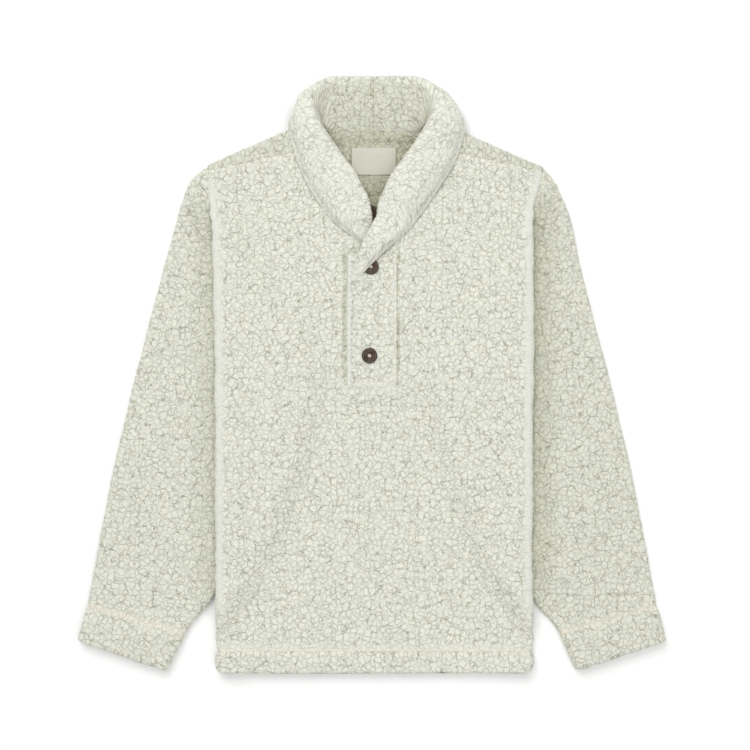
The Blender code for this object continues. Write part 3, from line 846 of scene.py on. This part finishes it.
def back_cloth():
    """Back panel: flat up to the shoulder, folded over it and down to the forward seam."""
    part = np.linspace(-1, 1, 201)[None, :]
    side = np.sign(part + 1e-6)
    end = HEM_END + np.array((0.0, 0.6, 1.8))
    flat = np.concatenate([end, np.linspace(HEM_END + 4, CHEST, 170)])
    rise, fold, down = parts(30), parts(12), parts(29)
    radius = (WALL + REST + SPREAD) / 2
    # Rows at which the rise, the fold and the stretch down to the seam start, and the last row
    rise_row, fold_row, down_row, rows = np.cumsum([len(flat), len(rise), len(fold), len(down)])
    x = CENTRE + part * BODY_HALF + np.zeros((rows, 1))
    for _ in range(4):
        turn_at = shoulder_line(x) - radius - WALL / 2
        over = turn_at[down_row:]
        last = seam_line(x)[down_row:] - SEAM_OVER
        y = np.concatenate([
            flat[:, None] + 0 * part,
            CHEST + (turn_at[rise_row:fold_row] - CHEST) * rise[:, None],
            turn_at[fold_row:down_row],
            over + (last - over) * down[:, None],
        ])
        narrow = flat_end(side, y) - SEAM - 0.2 * wall_at(y)
        wide = side_edge(side, y) - SEAM - 1.4 * smooth(250, 262, y)
        x = CENTRE + part * (narrow + (wide - narrow) * smooth(205, 232, y))
    z = back_height(x, y)
    turned = np.concatenate([np.zeros(fold_row), fold, np.ones(len(down))])[:, None]
    over_z = back_height(x, turn_at) + radius * (1 - np.cos(math.pi * turned))
    z = np.where(turned > 0, over_z, z)
    mid = np.stack([x, y + radius * np.sin(math.pi * turned) + hem_corner(x, y), z], axis=2)

    # Places on the flat cloth: past the fold its grain leans with the shoulder
    slope = np.arctan(SHOULDER_SLOPE * smooth(70, 95, np.abs(x - CENTRE)))
    past_fold = np.where(turned >= 1, turn_at - y, 0.0)
    s = x + side * past_fold * np.sin(2 * slope)
    t = np.where(turned > 0, turn_at + radius * math.pi * turned, y)
    t = t + past_fold * np.cos(2 * slope)
    shown = smooth(0.3, 0.7, turned) * np.ones_like(x)
    height = pile(s, t, 50)
    relief = (CROWN - GROOVE * (1 - height)) * shown - 1.8 * (1 - height) * (1 - shown)
    lines = 0.3 * ridge(0, 3.2, mid[..., 1] - seam_line(mid[..., 0])) * shown
    taper = np.ones(rows)
    taper[:3] = (0.3, 0.6, 0.85)
    taper[-1] = 0.94

    # The inside that shows in the neck: lumpy felt, with painted shade that deepens towards the
    # bottom of the V, painted shadow beside the label, and a lip at the seam
    neck = smooth(78, 66, np.abs(x - CENTRE)) * smooth(150, 170, y) * (1 - shown)
    felt = dome(s / LUMP + 1.4 * drift(s, t, 9, 71), t / LUMP + 1.4 * drift(s, t, 9, 72), 0.4, 73)
    left, right, low, high = LABEL_BOX
    beside_label = np.maximum(ridge(left - 0.8, 2.6, x), ridge(right + 0.8, 2.6, x))
    beside_label = beside_label * within(low - 3, low + 1, high - 1.5, high + 2.5, y)
    nap = -2.0 * (1 - felt) * (0.8 + 0.5 * drift(s, t, 13, 74)) + 3.8 * smooth(298, 310, y)
    under_label = within(left - 3.4, left + 0.6, right - 0.2, right + 3.8, x)
    under_label = under_label * within(low - 3, low + 1, high - 0.5, high + 3.5, y)
    lining = {
        "groove": (1 - felt) + beside_label,
        "painted_shade": np.maximum(0.62 + 0.38 * smooth(262, 222, y), 0.9 * beside_label) * neck,
        "inside": 1 - neck,
    }
    # Painted shade over the cloth that shows past the shoulder fold
    marks = {"groove": (1 - height) + 0.1 * lines, "painted_shade": 0.24 * shown}
    relief = relief - 1.5 * lines
    inside = {"lining": lining, "lining_relief": nap * neck * (1 - under_label)}
    form = {"taper": taper, "facing": -1, "step": 8, "place": (s, t), "shown_columns": (64, 136)}
    cloth = Cloth("back_cloth", mid, wall_at(y), relief, marks, **form, **inside)
    cut(cloth.made, both_sides(NECK_HOLE), 8.9, OVER_ALL)
    cut(cloth.made, both_sides(BACK_NECK), UNDER_ALL, OVER_ALL)
    worn(cloth.made, FLEECE, ["back"])


# Sleeves


def arm_line(side, y):
    """Sleeve's end: beside the body's edge, and lower down under the body."""
    beside = side_edge(side, y) - UNDER_EDGE
    under = read(TUCK, 1, np.minimum(y, 168.0)) - 2
    shown = smooth(150, 172, y)
    return beside * shown + np.minimum(under, beside) * (1 - shown)


def sleeve_plan(side, u, across):
    """Point of a sleeve seen from above: across is 0 at its outer edge and 1 at its inner edge."""
    outer_x, outer_y, inner_x, inner_y = (read(SLEEVE, i, u) for i in (1, 2, 3, 4))
    end_y = 273.0 - 267.0 * across
    armhole_x = arm_line(side, end_y) + side * CENTRE
    fade = np.maximum(1 - u / 0.45, 0.0) ** 2
    x = outer_x + (inner_x - outer_x) * across + fade * (armhole_x - (214.0 - 100.0 * across))
    head = 3.2 * smooth(0, 0.04, u) if side < 0 else -5.0
    head = head * smooth(0.16, 0.04, u) * (1 - across)
    y = outer_y + (inner_y - outer_y) * across
    return side * (x + head), y


def sleeve_cloth(side, name):
    """Sleeve as a flat tube with a turned cuff; its rows go round it from under its middle."""
    along = np.linspace(0, 1, 340)[None, :]
    corner = np.radians(np.linspace(0, 90, 8))
    under = np.linspace(0.5, 0, 14)
    over = np.concatenate([np.linspace(0, 0.62, 68)[:-1], np.linspace(0.62, 1, 29)])
    back = np.linspace(1, 0.5, 14)[:-1]
    zones = (
        (under, "flat", -1),
        (corner[::-1][1:], "outer", -1),
        (corner[1:], "outer", 1),
        (over[1:], "flat", 1),
        (corner[::-1][1:], "inner", 1),
        (corner[1:], "inner", -1),
        (back[1:], "flat", -1),
    )
    kind = np.concatenate([[where] * len(values) for values, where, _ in zones])[:, None]
    value = np.concatenate([values for values, _, _ in zones])[:, None]
    face = np.concatenate([[sign] * len(values) for values, _, sign in zones])[:, None]
    wall = WALL + (HEM_WALL - WALL) * smooth(CUFF_STITCH - 0.012, CUFF_STITCH + 0.02, along)
    radius = (wall + SLEEVE_GAP) / 2
    outer_x, outer_y = sleeve_plan(side, along, 0.0)
    inner_x, inner_y = sleeve_plan(side, along, 1.0)
    width = np.hypot(outer_x - inner_x, outer_y - inner_y)
    edge = (radius + wall / 2) / width
    rim = wall / 2 / width
    turn = (edge - rim) * np.cos(value)
    across = np.where(kind == "outer", edge - turn, 1 - edge + turn)
    across = np.where(kind == "flat", edge + (1 - 2 * edge) * value, across)
    rise = face * np.where(kind == "flat", 1.0, np.sin(value))
    x, y = sleeve_plan(side, np.broadcast_to(along, across.shape), across)
    y = y - drift(x, 0 * x, 9, 170 + side) * smooth(0.975, 1.0, along)
    turned = np.where(kind == "flat", (face < 0) * math.pi, math.pi / 2 - face * value)

    # Places on the flat cloth are carried on round both edges
    first_half = np.arange(len(value))[:, None] < len(value) / 2
    carried = (wall / 2 + radius) * (turned - np.sin(turned)) * np.where(first_half, 1, -1)
    s = x + carried * (outer_x - inner_x) / width
    t = y + carried * (outer_y - inner_y) / width
    mid = np.stack([x, y, wall / 2 + radius + radius * rise], axis=2)
    wall = np.broadcast_to(wall, across.shape)

    # Gathered at its head; painted shade beside the body, where it stands over the sleeve, and a
    # little all over
    top = smooth(-0.75, 0.1, rise)
    away = np.abs(x - CENTRE) - side_edge(np.full_like(x, side), y)
    head = smooth(46, 6, away) * within(150, 185, 240, 262, y)
    height = pile(s, t, 90 + 20 * side, 1.0)
    cuff = smooth(CUFF_STITCH, CUFF_STITCH + 0.01, along)
    line = ridge(CUFF_STITCH + 0.002, 0.005, along)
    wander = y + 4.0 * drift(x, y, 24, 141) + 2.0 * drift(x, y, 11, 142) + 0.16 * away
    pucker = head * (0.5 + 0.5 * np.sin(wander * math.tau / 11.5))
    swell = 0.8 * drift(x, y, 64, 151 + side) + 0.5 * drift(x, y, 30, 161 + side)
    flat_pile = 1 - 0.2 * cuff - 0.25 * head
    relief = CROWN - GROOVE * (1 - height) * flat_pile - 1.6 * line - 2.4 * pucker + swell
    # Painted shade: darker near the body's edge and a little over the whole sleeve, both more on
    # the sleeve at +X
    by_body, all_over = (0.24, 0.06) if side < 0 else (0.36, 0.13)
    shaded = by_body * smooth(44, 8, away) * within(-330, -250, 205, 246, y) + all_over
    marks = {
        "groove": (1 - height) * flat_pile + 0.3 * pucker,
        "sewn": 0.8 * ridge(CUFF_STITCH + 0.002, 0.006, along) * top,
        "painted_shade": shaded * top,
    }
    form = {"place": (s, t), "ring": True, "facing": -side, "crowns": (0, 1), "step": 28}
    cloth = Cloth(name + "_cloth", mid, wall, relief * top, marks, **form)
    worn(cloth.made, FLEECE, [name])
    return cloth


# Collar


def between(points, t):
    """Smooth curve through a table's rows, at t from 0 to their last number."""
    last = len(points) - 1
    i = min(max(math.floor(t), 0), last - 1)
    part = t - i
    a = points[max(i - 1, 0)]
    b = points[i]
    c = points[i + 1]
    d = points[min(i + 2, last)]
    return 0.5 * (
        2 * b
        + (c - a) * part
        + (2 * a - 5 * b + 4 * c - d) * part**2
        + (3 * b - a - 3 * c + d) * part**3
    )


def run_along(points):
    """Distance from the first point to each point of a line."""
    steps = np.linalg.norm(np.diff(points, axis=0), axis=1)
    return np.concatenate([[0.0], np.cumsum(steps)])


def section_curve(points, steps):
    """Smooth curve through points that may lie at uneven distances, as a row of short steps."""
    gaps = np.maximum(np.linalg.norm(np.diff(points, axis=0), axis=1), 0.5)
    knots = np.concatenate([[0.0], np.cumsum(gaps)])
    slopes = np.gradient(points, knots, axis=0)
    part = parts(steps)[:, None]
    curve = [points[:1]]
    for i in range(len(points) - 1):
        a = points[i] + slopes[i] * gaps[i] / 3
        b = points[i + 1] - slopes[i + 1] * gaps[i] / 3
        curve.append(cubic(part, points[i], a, b, points[i + 1]))
    return np.concatenate(curve)


def bulge(a, b, other, amount):
    """Middle of a and b, pushed off the line between them and away from other."""
    along = b - a
    normal = np.cross(along, np.cross(along, other - b))
    size = np.linalg.norm(normal)
    return (a + b) / 2 - normal / size * amount if size > 1e-6 else (a + b) / 2


def spread_out(mid, fixed):
    """Places on the flat cloth for a net that leans: along it, and square to that."""
    ahead = np.gradient(mid[:, fixed], axis=0)
    ahead /= np.linalg.norm(ahead, axis=1, keepdims=True)
    rows = np.einsum("ijk,ik->ij", np.diff(mid, axis=0), (ahead[1:] + ahead[:-1]) / 2)
    columns = np.diff(mid, axis=1)
    leaning = np.einsum("ijk,ik->ij", columns, ahead)
    square = np.sqrt(np.maximum(np.sum(columns**2, axis=2) - leaning**2, 0))
    first = np.concatenate([[0.0], np.cumsum(leaning[0])])
    along = first + np.concatenate([np.zeros((1, mid.shape[1])), np.cumsum(rows, axis=0)])
    out = np.concatenate([np.zeros((len(mid), 1)), np.cumsum(square, axis=1)], axis=1)
    return along, out - out[:, fixed : fixed + 1]


def collar_cloth(side, name, ends):
    """Half of the collar: from the neck seam up the stand, over the roll and down the fall."""
    table = np.vstack([COLLAR, ends])
    row_steps, stand_steps, fall_steps, curve_steps = 17, 40, 58, 14
    rows = (len(table) - 1) * row_steps + 1
    mid = np.empty((rows, stand_steps + fall_steps + 1, 3))
    wall = np.empty(mid.shape[:2])
    edge_off = np.empty(mid.shape[:2])
    for j in range(rows):
        row = between(table, j / row_steps)
        seam, roll = row[0:3], row[3:6]
        edge = row[6:9] + np.array([FULLER * smooth(84, 106, row[6]) * max(side, 0), 0, 0])
        stand = bulge(seam, roll, edge, -row[9])
        fall = bulge(roll, edge, seam, -row[10])
        curve = section_curve(np.array([seam, stand, roll, fall, edge]), curve_steps)
        reached = run_along(curve)
        rolled = reached[curve_steps * 2]
        end = reached[-1] - BAND_WALL / 2
        at = np.concatenate([
            np.linspace(0, rolled, stand_steps + 1)[:-1],
            np.linspace(rolled, end, fall_steps + 1),
        ])
        mid[j] = np.stack([np.interp(at, reached, curve[:, axis]) for axis in range(3)], axis=1)
        edge_off[j] = reached[-1] - at
        wall[j] = COLLAR_WALL - (COLLAR_WALL - BAND_WALL) * smooth(BAND + 3, BAND - 3, edge_off[j])
    mid[..., 0] = CENTRE + side * mid[..., 0]

    # The pressed free edge is thinner and lies lower
    thinned = 2.4 * smooth(11, 3, edge_off)
    wall -= thinned
    mid[..., 2] -= thinned / 2 + 1.5 * smooth(16, 2, edge_off)
    s, fall_place = spread_out(mid, stand_steps)

    height = pile(fall_place + 40, s * side + 300, 200, 1.1)
    band = smooth(BAND + 5, BAND - 4, edge_off)
    rim = smooth(6.0, 2.5, edge_off)
    seam_gap = ridge(0.0, 3.8, lengths(mid, 0) - lengths(mid, 0)[:1])
    line = ridge(BAND - 4, 3.0, edge_off)
    flat_pile = (1 - 0.45 * band - 0.35 * rim) * (1 - 0.8 * seam_gap)
    swell = 0.9 * drift(s, fall_place, 46, 211) + 0.6 * drift(s, fall_place, 24, 212)
    relief = CROWN - 2.5 * (1 - height) * flat_pile - 0.5 * line + swell - 1.6 * seam_gap
    from_neck = fall_place - fall_place[:, :1]
    relief = relief * smooth(0, 7, from_neck) - 1.6 * smooth(5, 0, from_neck)
    steep = smooth(0.7, 0.3, np.abs(directions(mid, False, 1)[0][..., 2]))
    taper = np.ones(rows)
    if side > 0:
        taper = 1 - 0.6 * smooth(rows - 34, rows - 4, np.arange(rows))
        lower = wall / 2 + 2.0 * smooth(-12, -18, mid[..., 0])
        mid[..., 2] -= lower * (1 - taper[:, None])
    taper[-4:] = taper[-4:] * (0.95, 0.85, 0.7, 0.5)
    groove = (1 - height) * flat_pile + 0.08 * line + 0.8 * seam_gap
    outside = smooth(-4, 6, fall_place)
    pressed = np.maximum(0.36 * band + 0.3 * rim, 0.8 * steep)
    broken = smooth(-0.4, 0.5, drift(s, fall_place, 22, 213))
    # The groove mark also paints shade along the neck seam and the centre-back seam. The stand,
    # which faces into the neck, gets painted shade, and the outside of the fall gets a painted
    # highlight because it lies highest.
    marks = {
        "groove": groove + 0.5 * smooth(4, 1, from_neck),
        "pressed": np.maximum(pressed, 0.2 * outside),
        "painted_highlight": 0.34 * outside,
        "flecked": ridge(BAND - 4, 5.0, edge_off) * broken,
        "painted_shade": 0.3 * smooth(-2, -12, fall_place),
    }
    form = {"place": (fall_place, s * side), "facing": -side, "crowns": (0, 1)}
    cloth = Cloth(name + "_cloth", mid, wall, relief, marks, taper=taper, step=12, **form)
    worn(cloth.made, FLEECE, [name])
    return cloth


# Placket, stand behind it, label


def strip(box, wall, spacing):
    """Net of places, x and y, for a flat strip in a box of left, right, low and high sides."""
    left, right, low, high = box
    x = np.linspace(left + wall / 2, right - wall / 2, int((right - left) / spacing))
    y = np.linspace(low, high, int((high - low) / spacing))
    return np.meshgrid(x, y)


def strip_cloth(name, x, y, face, wall, relief, marks, **form):
    """Strip of cloth that lies on a face."""
    mid = np.stack([x, y, face + REST + wall / 2 + 0 * x], axis=2)
    thick = np.full_like(x, wall)
    return Cloth(name, mid, thick, relief, marks, crowns=(1, 1), place=(x, y), **form)


def placket_cloth():
    """Strip that carries the buttons, with a pressed left edge and stitching round it."""
    x, y = strip(PLACKET_BOX, PLACKET_WALL, 1.15)
    height = pile(x + 90, y, 300, 1.0)
    left, right, low, _ = PLACKET_BOX
    pressed = 0.8 * smooth(left + 8.0, left + 3.4, x)
    pressed = np.maximum(pressed, 0.5 * smooth(right - 6.0, right - 3.0, x))
    pressed = np.maximum(pressed, 0.5 * smooth(low + 8.0, low + 4.0, y))
    line = np.maximum(ridge(right - 4.2, 1.8, x), ridge(low + 6.5, 1.8, y))
    near = np.min([np.hypot(x - at_x, y - at_y) for _, at_x, at_y, _ in BUTTONS[:2]], axis=0)
    dent = smooth(13.5, 9.0, near)
    flat_pile = (1 - 0.7 * pressed) * (1 - 0.9 * dent)
    relief = CROWN - 2.4 * (1 - height) * flat_pile - 0.5 * line + 0.4 * drift(x, y, 30, 301)
    relief = relief * (1 - dent) - 0.3 * dent
    # The collar's end lies across the strip's top left corner and the cloth beside it stands up
    below_collar = 0.91 * (y - 122.9) - 0.414 * (x + 30.6)
    relief = relief + 3.5 * smooth(-18, 2, below_collar) * smooth(-9, -13, x)
    marks = {
        "groove": (1 - height) * flat_pile,
        "pressed": pressed,
        "flecked": 0.8 * ridge(left + 6.5, 3.5, x),
        "sewn": 0.5 * ridge(low + 6.5, 2.0, y),
    }
    taper = np.ones(len(x))
    taper[:4] = (0.35, 0.65, 0.86, 0.96)
    form = (front_top(x, y), PLACKET_WALL, relief, marks)
    cloth = strip_cloth("placket_cloth", x, y, *form, taper=taper)
    worn(cloth.made, FLEECE, ["placket"])
    return cloth


def stand_cloth():
    """Part of the wearer's right placket that shows deep in the neck."""
    x, y = strip(STAND_BOX, STAND_WALL, 1.5)
    groove = 0.8 * (1 - pile(x, y, 330))
    # Painted shade over the whole strip, which lies deep in the neck opening
    marks = {"groove": groove, "painted_shade": 0.9 + 0 * x}
    cloth = strip_cloth("under_placket_cloth", x, y, WALL, STAND_WALL, -groove, marks)
    worn(cloth.made, FLEECE, ["under_placket"])


def label_cloth():
    """Bare woven label, sewn round its edge to the inside of the back."""
    x, y = strip(LABEL_BOX, LABEL_WALL, 0.9)
    left, right, low, high = LABEL_BOX
    edge = np.minimum(np.minimum(x - left, right - x), np.minimum(y - low, high - y))
    relief = 0.25 * smooth(0, 3.2, edge) - 0.35 * ridge(2.3, 0.9, edge)
    relief = relief + 0.35 * (drift(x, y, 17, 341) + 1) * smooth(2, 8, edge)
    cloth = strip_cloth("label_cloth", x, y, WALL, LABEL_WALL, relief, {})
    worn(cloth.made, TAPE, ["label"])
    return cloth


# Stitches


def stitches(name, routes, length, gap, thick):
    """Threads sewn along routes, each a list of point and normal: short rounded stitches."""
    sewn = bmesh.new()
    for line in routes:
        points = np.array([point for point, _ in line])
        normals = np.array([normal for _, normal in line])
        run = run_along(points)
        for start in np.arange(gap, run[-1] - length, length + gap):
            ends = [
                Vector([np.interp(start + part * length, run, points[:, i]) for i in range(3)])
                for part in (0, 1)
            ]
            up = Vector([np.interp(start, run, normals[:, i]) for i in range(3)]).normalized()
            ahead = (ends[1] - ends[0]).normalized()
            aside = ahead.cross(up).normalized()
            spin = Matrix((ahead, aside, aside.cross(ahead) * -1)).transposed().to_4x4()
            place = Matrix.Translation((ends[0] + ends[1]) / 2 * MM)
            size = Matrix.Diagonal((length / 2 * MM, thick / 2 * MM, thick / 2 * MM, 1))
            form = place @ spin @ size
            bmesh.ops.create_icosphere(sewn, subdivisions=1, radius=1.0, matrix=form)
    bmesh.ops.recalc_face_normals(sewn, faces=sewn.faces)
    made = solid(name, sewn)
    made.data.shade_smooth()
    worn(made, THREAD)


# Buttons


def button(name, x, y, cloth):
    """Turned horn button: dished, with fine rings, a rounded rim and four sewing holes."""
    top = BUTTON_HEIGHT
    # Radius and height: the dish, the rings, the rim, the side and the underside
    profile = [
        (0.0, top - 1.5),
        (3.4, top - 1.5),
        (4.3, top - 1.2),
        (4.9, top - 0.55),
        (5.4, top - 0.42),
        (5.9, top - 0.6),
        (6.4, top - 0.3),
        (7.0, top - 0.12),
        (7.5, top - 0.28),
        (8.1, top - 0.02),
        (8.7, top),
        (9.3, top - 0.18),
        (9.8, top - 0.7),
        (10.0, top - 1.4),
        (9.7, 1.0),
        (9.2, 0.45),
        (8.2, 0.08),
        (7.6, 0.0),
        (0.0, 0.0),
    ]
    turned = bmesh.new()
    points = [turned.verts.new((r * MM, 0, z * MM)) for r, z in profile]
    outline = [turned.edges.new(pair) for pair in zip(points, points[1:])]
    bmesh.ops.spin(
        turned,
        geom=points + outline,
        cent=(0, 0, 0),
        axis=(0, 0, 1),
        angle=math.tau,
        steps=56,
        use_merge=True,
    )
    bmesh.ops.remove_doubles(turned, verts=turned.verts, dist=0.000001)
    bmesh.ops.recalc_face_normals(turned, faces=turned.faces)
    bmesh.ops.translate(turned, verts=turned.verts, vec=(x * MM, y * MM, (cloth + REST) * MM))
    made = solid(name + "_horn", turned)
    turns = np.linspace(0, math.tau, 17)[:-1]
    for angle in np.radians((45, 135, 225, 315)):
        hole_x = x + 2.0 * math.cos(angle)
        hole_y = y + 2.0 * math.sin(angle)
        ring = [(hole_x + 0.85 * math.cos(a), hole_y + 0.85 * math.sin(a)) for a in turns]
        cut(made, ring, cloth - 1, cloth + 6)
    made.data.shade_smooth()
    made.data.set_sharp_from_angle(angle=math.radians(50))
    at = np.empty(len(made.data.vertices) * 3)
    made.data.vertices.foreach_get("co", at)
    at = at.reshape(-1, 3) / MM
    radius = made.data.attributes.new("radius", "FLOAT", "POINT")
    radius.data.foreach_set("value", np.hypot(at[:, 0] - x, at[:, 1] - y).astype(np.float32))
    worn(made, HORN, [name])
    level = cloth + REST + top - 1.0
    arch = ((-2.9, -0.5), (0.0, 0.2), (2.9, -0.5))
    bars = [
        [((x + across, y + along, level + rise), (0.0, 0.0, 1.0)) for along, rise in arch]
        for across in (-1.35, -0.45, 0.45, 1.35)
    ]
    stitches(name + "_thread", bars, 4.6, 0.4, 0.95)


# Build

front = front_cloth()
back_cloth()
sleeves = [sleeve_cloth(-1, "sleeve_right"), sleeve_cloth(1, "sleeve_left")]
collar_cloth(-1, "collar_right", COLLAR_UNDER_END)
collar_upper = collar_cloth(1, "collar_left", COLLAR_UPPER_END)
placket = placket_cloth()
stand_cloth()
label = label_cloth()
for name, x, y, cloth in BUTTONS:
    button(name, x, y, cloth)


def route(cloth, rows, columns):
    """Points and normals just over a cloth's outer face, at places in its rows and columns."""
    return [cloth.spot(row, column, 0.1) for row, column in zip(rows, columns)]


columns = np.arange(6, front.mid.shape[1] - 6)
levels = front.mid[:, front.mid.shape[1] // 2, 1]
hem_row = float(np.interp(HEM_STITCH, levels, range(len(levels))))
stitches("hem_stitching", [route(front, [hem_row] * len(columns), columns)], *STITCH, 0.8)
for cloth, name in zip(sleeves, ("sleeve_right", "sleeve_left")):
    rows = np.arange(26, 126)
    stitched = CUFF_STITCH * (cloth.mid.shape[1] - 1)
    stitches(name + "_stitching", [route(cloth, rows, [stitched] * len(rows))], *STITCH, 0.8)
zigzag = np.arange(2, 41, 0.75)
rows = [0.3 if n % 2 else 2.0 for n in range(len(zigzag))]
stitches("neck_stitching", [route(collar_upper, rows, zigzag)], 1.7, 0.5, 1.0)
rows = np.arange(8, len(placket.mid) - 1)
side_line = route(placket, rows, [placket.mid.shape[1] - 4.5] * len(rows))
columns = np.arange(3, placket.mid.shape[1] - 4)
low_line = route(placket, [6.5] * len(columns), columns)
stitches("placket_stitching", [side_line, low_line], *STITCH, 0.7)
inset = 2.6
last_row, last_column = (count - 1 - inset for count in label.mid.shape[:2])
steps = np.linspace(0, 4, 121)
rows = np.interp(steps, range(5), (inset, inset, last_row, last_row, inset))
columns = np.interp(steps, range(5), (inset, last_column, last_column, inset, inset))
stitches("label_stitching", [route(label, rows, columns)], 1.7, 0.7, 0.6)

# Camera, light and floor

camera = linked("camera", bpy.data.cameras.new("camera"))
camera.data.lens = 85
camera.data.sensor_width = 36
across = PHOTO_SIZE * PIXEL * MM
distance = across * camera.data.lens / camera.data.sensor_width
camera.location = (VIEW_MIDDLE[0] * MM, VIEW_MIDDLE[1] * MM, distance + 0.010)
bpy.context.scene.camera = camera


def softbox(name, place, size, power):
    """Square area light that faces the middle of the garment."""
    light = linked(name, bpy.data.lights.new(name, "AREA"))
    light.data.size = size
    light.data.energy = power
    light.location = place
    light.rotation_euler = Vector(place).to_track_quat("Z", "Y").to_euler()


softbox("key", (-0.8, 1.9, 2.8), 2.3, 63)
softbox("fill", (0.9, -1.1, 2.4), 2.0, 19)
world = bpy.data.worlds.new("studio")
world.use_nodes = True
world.node_tree.nodes["Background"].inputs["Color"].default_value = linear("FFFFFF")
world.node_tree.nodes["Background"].inputs["Strength"].default_value = 0.55
bpy.context.scene.world = world
bpy.context.scene.view_settings.view_transform = "Standard"

board = bmesh.new()
bmesh.ops.create_grid(board, x_segments=1, y_segments=1, size=3.0)
bmesh.ops.translate(board, verts=board.verts, vec=(0, 0, cad_box[0][2] - 0.0001))
floor = solid("floor", board)
floor.data.materials.append(floor_finish())
